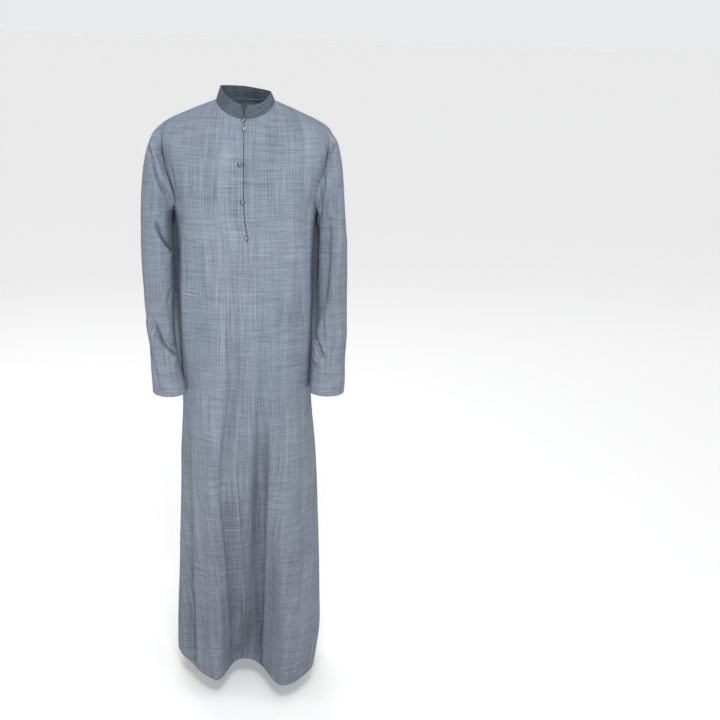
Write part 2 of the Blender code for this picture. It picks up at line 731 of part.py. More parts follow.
def main():
    """Clears the scene and builds the robe."""
    for thing in list(bpy.data.objects):
        bpy.data.objects.remove(thing)

    cloth = material("cloth", (0.29, 0.33, 0.39), 0.85)
    collar_cloth = material("collar_cloth", (0.14, 0.17, 0.20), 0.85)
    pearl = material("button_pearl", (0.45, 0.50, 0.56), 0.30)

    front, front_keys = body_grid("front")
    back, back_keys = body_grid("back")
    back[UPPER_ROWS:, 0] = front[UPPER_ROWS:, 0]
    back[UPPER_ROWS:, -1] = front[UPPER_ROWS:, -1]
    right = sleeve_grid(SLEEVE_RIGHT, -1, front, back)
    left = sleeve_grid(SLEEVE_LEFT, 1, front, back)

    front_sheet = Sheet("front", front)
    back_sheet = Sheet("back", back, outward=False)
    right_sheet = Sheet("sleeve_right", right, closed_round=True, outward=True)
    left_sheet = Sheet("sleeve_left", left, closed_round=True, outward=False)
    sheets = [front_sheet, back_sheet, right_sheet, left_sheet]
    normals = sew(sheets)

    opening = front_keys.index(OPENING_X)
    front_sheet.cut_slit(opening, SLIT_ROWS, SLIT_HALF)
    copied = normals["front"][list(front_sheet.copies)]
    front_normals = np.concatenate([normals["front"], copied])

    solid("front", *wall(front_sheet, front_normals, -CLOTH), cloth)
    for sheet in sheets[1:]:
        solid(sheet.name, *wall(sheet, normals[sheet.name], -CLOTH), cloth)

    collar = Sheet("collar", collar_grid(front, front_keys, back, back_keys), outward=False)
    collar_normals = collar.point_normals()
    collar_normals = collar_normals / np.linalg.norm(collar_normals, axis=1)[:, None]
    solid("collar", *wall(collar, collar_normals, -COLLAR_CLOTH), collar_cloth)

    over = [opening - 2, opening - 1, opening]
    under = [opening, opening + 1]
    make_strip("placket_over", front_sheet, front_normals, over, False, OVER_THICK, cloth)
    make_strip("placket_under", front_sheet, front_normals, under, True, UNDER_THICK, cloth)

    for number, button in enumerate(BUTTONS, start=1):
        place, direction = button_seat(front_sheet, front_normals, opening, button)
        seat = place + direction * (LIFT + OVER_THICK + LIFT)
        make_button(number, seat, direction, pearl)


main()
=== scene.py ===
"""A thobe robe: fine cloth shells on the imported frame, with creases, seams, stitches and weave.

Metres, +Z up, the front faces -Y, and the wearer's left is +X. The cloth's form repeats the named
sizes of the CAD model. Each sheet is a fine grid of that form, with its creases laid on it.
"""

from collections import namedtuple
from math import cos, pi, radians, sin

import bmesh
import bpy
import numpy as np
from mathutils import Matrix, Vector


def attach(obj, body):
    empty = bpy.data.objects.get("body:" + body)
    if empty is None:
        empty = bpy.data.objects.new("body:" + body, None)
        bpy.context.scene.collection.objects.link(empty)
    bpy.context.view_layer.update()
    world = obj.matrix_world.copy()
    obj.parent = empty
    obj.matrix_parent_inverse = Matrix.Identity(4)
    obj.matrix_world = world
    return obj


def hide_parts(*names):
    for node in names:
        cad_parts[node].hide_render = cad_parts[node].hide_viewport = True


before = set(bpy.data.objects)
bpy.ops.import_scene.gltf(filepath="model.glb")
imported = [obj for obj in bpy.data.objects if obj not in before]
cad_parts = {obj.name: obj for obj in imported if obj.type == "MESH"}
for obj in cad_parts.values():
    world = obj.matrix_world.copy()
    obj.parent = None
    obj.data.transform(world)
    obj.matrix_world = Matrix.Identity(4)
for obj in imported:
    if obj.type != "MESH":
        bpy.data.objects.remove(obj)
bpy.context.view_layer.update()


# ---- reading tables


def table(names, *rows):
    """Gives a table's columns by their names."""
    return dict(zip(names.split(), np.array(rows, float).T))


def curve(keys, values, at):
    """Reads values between their keys along a smooth curve, for a whole array at once."""
    if keys[0] > keys[-1]:
        keys = keys[::-1]
        values = values[::-1]
    slopes = np.gradient(values, keys)
    at = np.clip(at, keys[0], keys[-1])
    row = np.clip(np.searchsorted(keys, at, side="right") - 1, 0, len(keys) - 2)
    step = keys[row + 1] - keys[row]
    t = (at - keys[row]) / step
    start = values[row] * (1 + 2 * t) * (1 - t) ** 2 + slopes[row] * step * t * (1 - t) ** 2
    end = values[row + 1] * t * t * (3 - 2 * t) + slopes[row + 1] * step * t * t * (t - 1)
    return start + end


def read(columns, key, value, at):
    """Reads one column of a table at places between its rows."""
    return curve(columns[key], columns[value], at)


def between(ends, part):
    """Gives the value at a part of the way between two."""
    return ends[0] + (ends[1] - ends[0]) * part


def ease(start, end, at):
    """Rises smoothly from 0 at the start to 1 at the end."""
    t = np.clip((at - start) / (end - start), 0.0, 1.0)
    return t * t * (3 - 2 * t)


def window(start, full, fade, end, at):
    """Rises smoothly from 0 to 1 between two places, and falls back to 0 between two more."""
    return ease(start, full, at) * (1 - ease(fade, end, at))


def bell(distance, wide=1.0):
    """Falls from 1 at no distance to about a third at the width, the same on both sides."""
    return np.exp(-((distance / wide) ** 2))


# ---- the robe's own sizes (metres)

CLOTH = 0.0015  # wall of the body and the sleeves
COLLAR_CLOTH = 0.0024
LIFT = 0.0003  # gap under whatever lies on a panel
TURNING = 0.0010  # how much thicker the wall is where its seams and hems are turned in
ALLOWANCE = (0.009, 0.0115)  # a seam's turned cloth ends between these distances from it
HEM_DEEP = 0.044
CUFF_DEEP = 0.020

NECK_HALF = 0.072
NECK_CURVE = 1.3
SHOULDER_HALF = 0.207
UNDERARM = -0.270
HEM = -1.500

# The collar leans in and rolls to one side as it rises. Pairs are values at its foot and its top.
COLLAR_LEAN = 0.011
COLLAR_ROLL = (0.035, 0.075)
NOTCH_HALF = (0.0012, 0.0052)
NOTCH_REACH = 0.022
COLLAR_CORNER = 0.0080
COLLAR_HEIGHT = table(
    "degrees tall", (0, 0.0325), (45, 0.0300), (90, 0.0275), (135, 0.0295), (180, 0.0310)
)

OPENING_X = -0.004
OVER_WIDE = 0.024
UNDER_WIDE = 0.011
OVER_THICK = 0.0015
UNDER_THICK = 0.0008
STRIP_START = 0.008  # the part of the way from the neck to the underarm where the strips start
SLIT_END = -0.380
PLACKET_END = -0.4575

RINGS = table(
    "height half_width centre_x front_depth back_depth right_square left_square back_square",
    (0.00, 0.222, 0.000, 0.121, 0.108, 2.5, 2.5, 2.5),
    (-0.10, 0.220, 0.000, 0.123, 0.113, 2.5, 2.5, 2.5),
    (-0.20, 0.201, 0.000, 0.126, 0.117, 2.5, 2.5, 2.5),
    (-0.27, 0.178, 0.000, 0.128, 0.117, 2.4, 2.5, 2.4),
    (-0.35, 0.1705, 0.001, 0.130, 0.116, 2.4, 2.5, 2.4),
    (-0.50, 0.1710, 0.001, 0.134, 0.118, 2.4, 2.5, 2.4),
    (-0.65, 0.1705, 0.002, 0.138, 0.123, 2.4, 2.5, 2.4),
    (-0.76, 0.1680, 0.005, 0.144, 0.130, 2.4, 2.5, 2.4),
    (-0.90, 0.1770, 0.009, 0.160, 0.142, 2.2, 2.5, 2.4),
    (-1.10, 0.1860, 0.011, 0.184, 0.160, 1.9, 2.6, 2.3),
    (-1.30, 0.1930, 0.011, 0.210, 0.178, 1.6, 2.8, 2.3),
    (-1.42, 0.1960, 0.009, 0.226, 0.189, 1.5, 2.9, 2.3),
    (-1.50, 0.1905, 0.003, 0.236, 0.196, 1.5, 3.0, 2.3),
)

SHOULDER_LINE = table(
    "across height",
    (-0.036, 0.0155),
    (0.000, 0.0255),
    (0.036, 0.0155),
    (0.072, 0.000),
    (0.110, -0.015),
    (0.145, -0.030),
    (0.184, -0.048),
    (0.207, -0.063),
    (0.222, -0.078),
)

ARMHOLE_TOP = -0.063
ARMHOLE = table(
    "height across",
    (ARMHOLE_TOP, 0.207),
    (-0.100, 0.2045),
    (-0.150, 0.1960),
    (-0.200, 0.1800),
    (-0.240, 0.1710),
    (-0.270, 0.1780),
)
ARMHOLE_PULL = 5

# The large folds of the CAD solids, and smaller ones that close the gaps to the sleeves. A negative
# depth is a ridge.
Fold = namedtuple("Fold", "across breadth depth top peak foot flatness")
FRONT_FOLDS = (
    Fold(-0.001, 0.062, 0.152, -0.66, -1.56, -9.0, 4.0),
    Fold(-0.205, 0.030, 0.008, -0.90, -1.40, -9.0, 2.0),
    Fold(0.170, 0.026, 0.009, -0.85, -1.35, -9.0, 2.0),
)
BACK_FOLDS = (
    Fold(-0.105, 0.036, 0.030, -0.40, -1.40, -9.0, 2.0),
    Fold(0.012, 0.034, 0.036, -0.55, -1.45, -9.0, 2.0),
    Fold(0.120, 0.036, 0.032, -0.45, -1.40, -9.0, 2.0),
)
for side in (-1, 1):
    BACK_FOLDS += (
        Fold(side * 0.195, 0.028, -0.030, -0.24, -0.42, -0.74, 2.0),
        Fold(side * 0.200, 0.024, -0.012, -0.16, -0.30, -0.44, 2.0),
        Fold(side * 0.205, 0.026, -0.012, -0.46, -0.62, -0.84, 2.0),
    )
SEAM_FADE = 0.035

# The front's middle line drifts sideways, less towards the sides and not at the neck.
MIDDLE_DRIFT = table(
    "height shift",
    (0.00, 0.0000),
    (-0.20, -0.0010),
    (-0.26, 0.0000),
    (-0.32, 0.0065),
    (-0.46, 0.0100),
    (-0.80, 0.0040),
    (-1.50, 0.0000),
)
DRIFT_REACH = 0.140
DRIFT_START = (-0.070, -0.130)

# Slanted rings down the sleeves: the lowest point, the bend forward and half the depth of both, and
# the outer point and the inner x of the right one, then of the left one.
SLEEVE_RINGS = table(
    "inner_z forward half_depth outer_x-1 outer_z-1 inner_x-1 outer_x1 outer_z1 inner_x1",
    (-0.270, 0.000, 0.076, 0.2070, -0.063, 0.1780, 0.2070, -0.063, 0.1780),
    (-0.274, 0.000, 0.077, 0.2235, -0.079, 0.1795, 0.2180, -0.078, 0.1795),
    (-0.280, 0.000, 0.077, 0.2365, -0.103, 0.1810, 0.2300, -0.100, 0.1815),
    (-0.293, 0.000, 0.075, 0.2495, -0.151, 0.1830, 0.2405, -0.150, 0.1845),
    (-0.316, 0.000, 0.071, 0.2570, -0.210, 0.1835, 0.2465, -0.210, 0.1865),
    (-0.348, 0.000, 0.067, 0.2605, -0.280, 0.1835, 0.2510, -0.280, 0.1875),
    (-0.390, 0.000, 0.064, 0.2620, -0.350, 0.1825, 0.2560, -0.350, 0.1875),
    (-0.442, 0.004, 0.062, 0.2590, -0.425, 0.1800, 0.2600, -0.430, 0.1870),
    (-0.505, 0.020, 0.060, 0.2545, -0.505, 0.1810, 0.2612, -0.505, 0.1860),
    (-0.575, 0.042, 0.056, 0.2460, -0.575, 0.1800, 0.2600, -0.575, 0.1800),
    (-0.640, 0.062, 0.052, 0.2400, -0.640, 0.1700, 0.2560, -0.640, 0.1690),
    (-0.690, 0.078, 0.050, 0.2365, -0.690, 0.1570, 0.2550, -0.690, 0.1660),
    (-0.722, 0.087, 0.050, 0.2335, -0.722, 0.1490, 0.2530, -0.722, 0.1635),
)
SLEEVE_SQUARE = 2.2
LEAST_HALF = 0.034  # least half width of a sleeve that its weave is wrapped round
SLANT = 1.02  # how much longer a sleeve is than its drop
ARMHOLE_REACH = 0.16


# ---- the creases, in millimetres

# A crease is laid along points of x and z on one face of a piece. A trough goes in, a ridge comes
# out, a fold has a ridge on one side and a trough on the other, and an edge stands up on one side
# and drops sharply on the other. The side flips with the sign of the depth. The width is where it
# has fallen to a third. The fades are the parts of its length over which it starts and ends.
Crease = namedtuple("Crease", "kind depth width fade_in fade_out path")


def creases(*rows):
    """Reads rows of a kind, a depth, a width, two fades, and then x and z along the path."""
    made = []
    for kind, depth, width, fade_in, fade_out, *path in rows:
        path = np.array(path).reshape(-1, 2) / 1000
        made.append(Crease(kind, depth / 1000, width / 1000, fade_in, fade_out, path))
    return made


# The front: pulls beside the armholes, drag lines over the chest, the folds of the skirt with a
# weak ridge in the middle and a deeper valley on the wearer's left of it, and small pulls at the
# side seams.
FRONT_CREASES = creases(
    ("trough", 2.6, 5.5, 0.3, 0.5, -180, -142, -176, -178, -169, -225),
    ("ridge", 6, 18, 0.3, 0.3, -150, -230, -151, -400, -152, -600, -152, -780),
    ("ridge", 5, 18, 0.3, 0.3, 152, -250, 154, -420, 155, -620, 155, -780),
    ("trough", 1.4, 7.5, 0.3, 0.6, -168, -215, -158, -265, -155, -330),
    ("ridge", 1.3, 14, 0.4, 0.5, -150, -172, -112, -198, -72, -210),
    ("ridge", 2.4, 11, 0.4, 0.3, 58, -217, 94, -206, 135, -182),
    ("trough", 1.6, 9, 0.5, 0.4, 80, -236, 110, -226, 148, -205),
    ("trough", 2, 8, 0.3, 0.5, 163, -205, 154, -262, 151, -345),
    ("trough", 1.2, 12, 0.5, 0.5, -120, -300, -116, -420, -122, -560),
    ("ridge", 1.2, 13, 0.5, 0.5, 104, -330, 112, -470, 108, -600),
    ("trough", 12, 16, 0.5, 0.35, -36, -430, -31, -500, -29, -574, -30, -691, -42, -830),
    ("trough", 8, 11, 0.4, 0.35, 37, -385, 42, -480, 45, -574, 46, -691, 40, -811),
    ("ridge", 11, 11, 0.4, 0.02,
     -22, -600, -26, -780, -27, -945, -20, -1080, -12, -1250, -6, -1500),
    ("trough", 15, 13.5, 0.3, 0.02,
     -30, -600, -44, -780, -57, -945, -47, -1080, -38, -1250, -30, -1500),
    ("trough", 33, 16, 0.45, 0.02, 46, -600, 40, -800, 37, -950, 36, -1100, 36, -1250, 35, -1500),
    ("trough", 10, 18, 0.3, 0.3, -154, -760, -152, -960, -150, -1090, -148, -1300),
    ("ridge", 5, 15, 0.4, 0.1, -96, -800, -94, -1000, -90, -1250, -86, -1480),
    ("trough", 24, 19, 0.4, 0.05, -148, -1020, -146, -1200, -143, -1350, -140, -1490),
    ("trough", 2.2, 5.5, 0.1, 0.6, -176, -1150, -162, -1157, -146, -1170),
    ("trough", 2, 5, 0.1, 0.6, -178, -1285, -162, -1288, -147, -1300),
    ("trough", 2.2, 5, 0.1, 0.6, -179, -1338, -160, -1345, -146, -1358),
    ("ridge", 3, 7.5, 0.2, 0.4, -176, -1366, -163, -1378, -150, -1392),
    ("trough", 2.6, 5.5, 0.1, 0.5, -183, -1390, -168, -1404, -153, -1424),
    ("fold", 2.2, 10, 0.4, 0.3, 150, -840, 155, -1020, 158, -1220, 154, -1420),
    ("trough", 2, 6.5, 0.1, 0.6, 184, -1060, 172, -1068, 160, -1082),
    ("trough", 1.8, 6, 0.1, 0.6, 190, -1240, 176, -1247, 165, -1262),
    ("trough", 1.6, 12, 0.5, 0.4, -85, -800, -80, -980, -83, -1180),
)
# The back: drags from the shoulder blades, and folds that start at different heights.
BACK_CREASES = creases(
    ("trough", 2.2, 7, 0.2, 0.5, 176, -160, 160, -215, 150, -300),
    ("trough", 2.6, 6.5, 0.2, 0.5, -178, -150, -164, -200, -152, -275),
    ("ridge", 1.8, 13, 0.4, 0.4, 140, -140, 95, -165, 45, -172),
    ("ridge", 1.5, 12, 0.4, 0.5, -130, -150, -95, -178, -60, -190),
    ("trough", 2.2, 11, 0.4, 0.5, 62, -360, 56, -520, 60, -700),
    ("trough", 2.4, 12, 0.4, 0.5, -55, -420, -60, -600, -54, -820),
    ("ridge", 5, 15, 0.5, 0.1, -58, -760, -60, -1000, -62, -1500),
    ("ridge", 4.4, 16, 0.5, 0.1, 66, -820, 68, -1100, 70, -1500),
    ("trough", 4, 13, 0.4, 0.1, -150, -900, -154, -1200, -152, -1480),
    ("trough", 3.4, 12, 0.4, 0.1, 152, -980, 158, -1220, 156, -1490),
    ("trough", 2, 6, 0.1, 0.6, 182, -1180, 168, -1190, 152, -1208),
    ("trough", 2.2, 6, 0.1, 0.6, -180, -1020, -166, -1030, -148, -1046),
)
# The sleeves: pulls from the armhole, a bend at the elbow, and slanting folds over the wrist.
RIGHT_FRONT_CREASES = creases(
    ("trough", 8.5, 4.8, 0.15, 0.35, -238, -100, -221, -159, -209, -192, -189, -233, -178, -262),
    ("trough", 9, 5, 0.2, 0.4, -204, -145, -190, -183, -181, -209, -174, -250),
    ("ridge", 4, 5, 0.2, 0.4, -214, -135, -203, -180, -190, -215, -180, -250),
    ("edge", 11, 8, 0.15, 0.25, -230, -290, -221, -315, -210, -340, -196, -368, -182, -400),
    ("trough", 8, 4, 0.2, 0.25, -224, -286, -214, -312, -203, -337, -189, -364, -177, -392),
    ("trough", 8, 3.8, 0.2, 0.2, -232, -535, -216, -570, -199, -595, -182, -617, -166, -640),
    ("edge", 11.5, 7.5, 0.25, 0.2,
     -242, -520, -235, -552, -222, -578, -204, -604, -186, -626, -166, -652),
    ("trough", 6, 10, 0.3, 0.3, -220, -540, -206, -566, -188, -590, -172, -612),
    ("fold", 5.2, 8, 0.2, 0.15, -242, -575, -230, -618, -221, -660, -209, -715),
    ("ridge", 4, 12, 0.3, 0.3, -203, -640, -198, -668, -192, -705),
    ("trough", 1.8, 4, 0.3, 0.4, -242, -488, -208, -486, -181, -502),
    ("trough", 2.4, 7, 0.4, 0.4, -242, -235, -228, -270, -214, -285),
    ("trough", 2.8, 10, 0.4, 0.5, -212, -385, -206, -430, -208, -500),
    ("ridge", 2.6, 10, 0.4, 0.5, -232, -390, -232, -450, -224, -520),
    ("trough", 2.6, 6, 0.3, 0.4, -178, -450, -188, -472, -198, -520),
)
RIGHT_BACK_CREASES = creases(
    ("trough", 4.4, 5.5, 0.2, 0.4, -232, -120, -212, -180, -190, -245),
    ("edge", 5, 8, 0.3, 0.3, -184, -340, -205, -375, -236, -400),
    ("trough", 4.6, 7, 0.2, 0.4, -184, -400, -206, -424, -240, -440),
    ("edge", -4.8, 8, 0.3, 0.3, -182, -520, -204, -560, -234, -585),
    ("trough", 3.6, 6, 0.3, 0.3, -176, -610, -196, -636, -230, -650),
    ("ridge", 3, 11, 0.3, 0.4, -222, -200, -226, -280, -224, -340),
)
LEFT_FRONT_CREASES = creases(
    ("ridge", 5.6, 6, 0.2, 0.4, 207, -90, 198, -147, 185, -206, 177, -255),
    ("trough", 11, 5.2, 0.15, 0.3, 217, -88, 203, -137, 196, -177, 189, -216, 187, -290),
    ("trough", 2.4, 5, 0.3, 0.4, 231, -185, 231, -240, 229, -290),
    ("ridge", 8.5, 17, 0.25, 0.3, 234, -240, 230, -320, 226, -420, 222, -540),
    ("trough", 12, 15, 0.25, 0.3, 206, -250, 203, -350, 200, -430, 197, -530),
    ("trough", 7, 3.8, 0.2, 0.3, 182, -582, 186, -604, 193, -618, 204, -624),
    ("edge", 8.5, 6, 0.15, 0.25, 176, -580, 180, -610, 187, -628, 198, -634, 212, -630),
    ("ridge", 4.6, 5.5, 0.3, 0.3, 172, -610, 177, -636, 189, -647, 206, -645),
    ("ridge", 3.6, 6.5, 0.3, 0.3, 184, -548, 183, -592),
    ("trough", 4.4, 7, 0.3, 0.3, 195, -520, 195, -563, 197, -605),
    ("edge", -6, 7, 0.2, 0.4, 242, -560, 229, -592, 214, -622),
    ("ridge", 3.2, 8, 0.3, 0.4, 244, -594, 234, -622, 224, -655),
    ("trough", 2, 5, 0.3, 0.4, 188, -690, 214, -684, 240, -690),
)
LEFT_BACK_CREASES = creases(
    ("trough", 4.6, 6, 0.2, 0.4, 226, -110, 208, -170, 190, -240),
    ("edge", 4.8, 8.5, 0.3, 0.3, 190, -330, 212, -362, 242, -380),
    ("trough", 4, 6.5, 0.2, 0.4, 190, -396, 214, -414, 248, -424),
    ("edge", 4.4, 8.5, 0.3, 0.3, 186, -500, 210, -545, 248, -560),
    ("trough", 4, 6, 0.3, 0.3, 178, -600, 204, -622, 240, -640),
    ("ridge", 3, 11, 0.3, 0.4, 220, -210, 224, -270, 228, -330),
)


# ---- the body's surface


# What differs from the front to the back: which way it faces, the drop of the neck, the columns of
# RINGS for its depth and for how square it is on each side, the level where the chest or the
# shoulder blades start to round over, how round they are in the middle and at the sides, how far
# the cloth rolls at the armhole, the seed of its unevenness, its large folds and its creases.
Panel = namedtuple("Panel", "face neck_drop depth squares level rounds roll seed folds creases")
FRONT = Panel(
    face=-1,
    neck_drop=0.041,
    depth="front_depth",
    squares=("right_square", "left_square"),
    level=-0.190,
    rounds=(1.4, 1.8),
    roll=0.0030,
    seed=3,
    folds=FRONT_FOLDS,
    creases=FRONT_CREASES,
)
BACK = Panel(
    face=1,
    neck_drop=0.0,
    depth="back_depth",
    squares=("back_square", "back_square"),
    level=-0.170,
    rounds=(2.0, 2.0),
    roll=0.0040,
    seed=8,
    folds=BACK_FOLDS,
    creases=BACK_CREASES,
)


RING_ANGLES = np.linspace(-pi / 2, pi / 2, 181)  # for the lengths of rings, and for columns
FINE_ANGLES = np.linspace(-pi / 2, pi / 2, 1441)


def run_lengths(points, axis):
    """Gives the distance along a line, or a grid's rows or columns, from their start."""
    steps = np.linalg.norm(np.diff(points, axis=axis), axis=-1)
    start = np.zeros_like(np.take(steps, [0], axis=axis))
    return np.concatenate([start, np.cumsum(steps, axis=axis)], axis=axis)


def ring(value, height):
    """Gives one measure of the body's rings at heights."""
    return read(RINGS, "height", value, height)


def square_of(panel, side, height):
    """Gives how square the rings are on one panel, on each side of its middle."""
    return np.where(side > 0, ring(panel.squares[1], height), ring(panel.squares[0], height))


def ring_offset(panel, angle, height):
    """Gives the rings' plain x and depth at angles from the panel's middle."""
    power = square_of(panel, angle, height)
    across = np.abs(np.sin(angle)) / ring("half_width", height)
    along = np.abs(np.cos(angle)) / ring(panel.depth, height)
    reach = (across**power + along**power) ** (-1 / power)
    return reach * np.sin(angle), reach * np.maximum(np.cos(angle), 0.0)


def ring_distance(panel, angle, height):
    """Gives distances along each ring from the panel's middle, and the room to its side seams."""
    out = np.empty_like(angle)
    room = np.empty_like(angle)
    for row in range(angle.shape[0]):
        line = np.stack(ring_offset(panel, RING_ANGLES, height[row, 0]), axis=-1)
        travelled = run_lengths(line, 0)
        travelled -= np.interp(0.0, RING_ANGLES, travelled)
        out[row] = np.interp(angle[row], RING_ANGLES, travelled)
        room[row] = np.minimum(travelled[-1] - out[row], out[row] - travelled[0])
    return out, room


def fold_offset(panel, angle, level, height):
    """Adds up a panel's large folds, which fade out towards its side seams, as x and depth."""
    distance, room = ring_distance(panel, angle, level)
    total = np.zeros_like(distance)
    for fold in panel.folds:
        rise = window(fold.top, fold.peak, fold.peak, fold.foot, height)
        shape = np.exp(-(np.abs((distance - fold.across) / fold.breadth) ** fold.flatness))
        total += fold.depth * rise * shape
    total = total * ease(0.0, SEAM_FADE, room)
    tilt = angle * (angle / (pi / 2)) ** 2
    return total * np.sin(tilt), total * np.cos(tilt)


def drift(panel, x, height):
    """Gives the sideways drift of the front's middle line."""
    if panel is BACK:
        return 0.0
    strength = ease(*DRIFT_START, height) * (1 - ease(0, DRIFT_REACH, np.abs(x)))
    return read(MIDDLE_DRIFT, "height", "shift", height) * strength


def lower_points(panel, angle, height):
    """Gives the surface below the underarm."""
    x, deep = ring_offset(panel, angle, height)
    fold_x, fold_deep = fold_offset(panel, angle, height, height)
    x = x - fold_x
    x = x + drift(panel, x, height) + ring("centre_x", height)
    return np.stack([x, panel.face * (deep - fold_deep), height], axis=-1)


def column_angle(panel, key):
    """Gives the angles of columns named by their x at the underarm."""
    places = ring_offset(panel, FINE_ANGLES, UNDERARM + 0 * FINE_ANGLES)[0]
    return np.interp(key, places, FINE_ANGLES)


def upper_points(panel, keys, down):
    """Gives the surface above the underarm: columns by key, rows by their part of the way down."""
    width = ring("half_width", UNDERARM)
    key, part = np.meshgrid(keys, down)
    side = np.where(key > 0, 1, -1)
    near_neck = np.abs(key) <= NECK_HALF
    turn = np.sqrt(np.clip(1 - (key / NECK_HALF) ** 2, 0.0, 1.0)) ** NECK_CURVE
    stretch = (np.abs(key) - NECK_HALF) / (width - NECK_HALF)
    seam_x = np.abs(key) + (SHOULDER_HALF - width) * stretch
    seam_z = read(SHOULDER_LINE, "across", "height", seam_x)
    top_x = np.where(near_neck, key, seam_x * side)
    height = between((np.where(near_neck, -panel.neck_drop * turn, seam_z), UNDERARM), part)
    corner = read(ARMHOLE, "height", "across", between((ARMHOLE_TOP, UNDERARM), part))
    straight = between((SHOULDER_HALF, width), part)
    pull = (corner - straight) * np.abs(key / width) ** ARMHOLE_PULL
    x = between((top_x, key), part) + side * pull
    power = square_of(panel, x, height)
    ridge = read(SHOULDER_LINE, "across", "height", np.abs(x))
    up = np.clip((height - panel.level) / (ridge - panel.level), 0.0, 1.0)
    rounding = between(panel.rounds, np.abs(x) / SHOULDER_HALF)
    wide = ring("half_width", height)
    level = (1 - np.minimum(np.abs(x) / wide, 1.0) ** power) ** (1 / power)
    deep = ring(panel.depth, height) * level * (1 - up**rounding) ** (1 / rounding)
    angle = np.tile(column_angle(panel, keys), (len(down), 1))
    deep = deep - fold_offset(panel, angle, np.full_like(angle, UNDERARM), height)[1]
    return np.stack([x + drift(panel, x, height), panel.face * deep, height], axis=-1)


def body_points(panel, keys, down, heights):
    """Gives a panel's points, row by row from its top edge to the hem."""
    angle, height = np.meshgrid(column_angle(panel, keys), [UNDERARM, *heights])
    upper = upper_points(panel, keys, down[:-1])
    return np.concatenate([upper, lower_points(panel, angle, height)])


# ---- the sleeves' surface


def ovals(side, along, angles):
    """Gives the slanted rings of a sleeve, from its outer line round by the front."""
    steps = np.linspace(0, 1, len(SLEEVE_RINGS["forward"]))
    place = {name: curve(steps, column, along)[:, None] for name, column in SLEEVE_RINGS.items()}
    ahead = -place["forward"]
    outer = np.stack([side * place[f"outer_x{side}"], ahead, place[f"outer_z{side}"]], axis=-1)
    inner = np.stack([side * place[f"inner_x{side}"], ahead, place["inner_z"]], axis=-1)
    across = np.cos(angles)
    front = np.sin(angles)
    reach = np.abs(across) ** SLEEVE_SQUARE + np.abs(front) ** SLEEVE_SQUARE
    reach = reach ** (-1 / SLEEVE_SQUARE)
    points = (outer + inner) / 2 + (outer - inner) / 2 * (across * reach)[None, :, None]
    points[..., 1] -= (front * reach)[None, :] * place["half_depth"]
    return points


def sleeve_points(side, front, back, down, along):
    """Gives a sleeve's points, ring by ring. The first ring is the armhole of both panels."""
    edge = -1 if side > 0 else 0
    count = len(down)
    armhole = np.concatenate([front[:count, edge], back[:count, edge][-2:0:-1]])
    turned = np.arccos(1 - 2 * down)
    angles = np.concatenate([turned, 2 * pi - turned[-2:0:-1]])
    leave = 1 - ease(0, ARMHOLE_REACH, along)
    first = ovals(side, np.zeros(1), angles)
    return ovals(side, along, angles) + leave[:, None, None] * (armhole - first)


# ---- sheets of cloth


def unit(vectors):
    """Gives the directions of vectors."""
    return vectors / np.maximum(np.linalg.norm(vectors, axis=-1, keepdims=True), 1e-12)


class Sheet:
    """A grid of points on a piece of cloth, with the distances along it in metres."""

    def __init__(self, points, turn, joined=False):
        self.points = points
        self.turn = turn  # 1 or -1, to make the normals point outward
        self.joined = joined  # the first and the last column are one line
        self.find_normals()
        self.from_first = run_lengths(points, 1)
        self.from_last = self.from_first[:, -1:] - self.from_first
        self.from_side = np.minimum(self.from_first, self.from_last)
        self.from_top = run_lengths(points, 0)
        self.from_foot = self.from_top[-1:] - self.from_top

    def find_normals(self):
        """Works out the normals of the grid."""
        along = np.gradient(self.points, axis=1)
        if self.joined:
            along[:, 0] = along[:, -1] = (self.points[:, 1] - self.points[:, -2]) / 2
        self.normals = unit(np.cross(np.gradient(self.points, axis=0), along)) * self.turn

    def raise_by(self, relief):
        """Moves the points out along their normals."""
        self.points = self.points + self.normals * relief[..., None]
        self.find_normals()

    def lay_flat(self, column, row, start=0.0):
        """Sets the distances from one column and one row, which the weave follows."""
        across = run_lengths(self.points * (1, 1, 0), 1)
        down = run_lengths(self.points * (0, 1, 1), 0)
        self.u = across - across[:, column : column + 1] + start
        self.v = down - down[row]


# ---- laying creases on a sheet

PATH_STEP = 0.0015
CREASE_REACH = 3.2  # widths from a crease's line beyond which it has no effect
SEARCH_MARGIN = 0.03  # metres round a path in which the sheet's depth is looked up
NEAREST = 4  # points of the sheet that give the depth at each point of a path
BLOCK = 4000000  # pairs of points compared at once
BANK = 2.0  # widths from a crease's line to the soft banks beside it
BANKS = {"trough": 0.30, "ridge": 0.22}
EDGE_SIDES = (2.4, 0.55)  # how wide an edge is on its gentle and on its sharp side, in widths
EDGE_HOLLOW = (0.55, 1.5)  # the hollow under it: its depth, and its place in widths
FOLD_SHAPE = (1.65, 1.3)  # a fold's height, and the spread of its ridge and its trough
CREASE_UNEVEN = (0.18, 9, 23)  # how much a crease's depth varies, and how fast along it


def along_path(corners):
    """Gives close points along a path of x and z, and the part of its length at each."""
    travelled = run_lengths(corners, 0)
    part = np.linspace(0, travelled[-1], max(int(travelled[-1] / PATH_STEP), 8))
    places = [curve(travelled, corners[:, axis], part) for axis in (0, 1)]
    return np.stack(places, axis=-1), part / travelled[-1]


def crease_shape(kind, apart, signed):
    """Gives a crease's height over its depth, at distances from its line in widths."""
    if kind in BANKS:
        shape = bell(apart) - BANKS[kind] * bell(apart - BANK)
        return shape if kind == "ridge" else -shape
    if kind == "edge":
        gentle, sharp = [bell(signed, wide) for wide in EDGE_SIDES]
        hollow = EDGE_HOLLOW[0] * bell(signed + EDGE_HOLLOW[1])
        return np.where(signed > 0, gentle, sharp) - hollow
    return -FOLD_SHAPE[0] * signed * np.exp(-(signed**2) / FOLD_SHAPE[1])


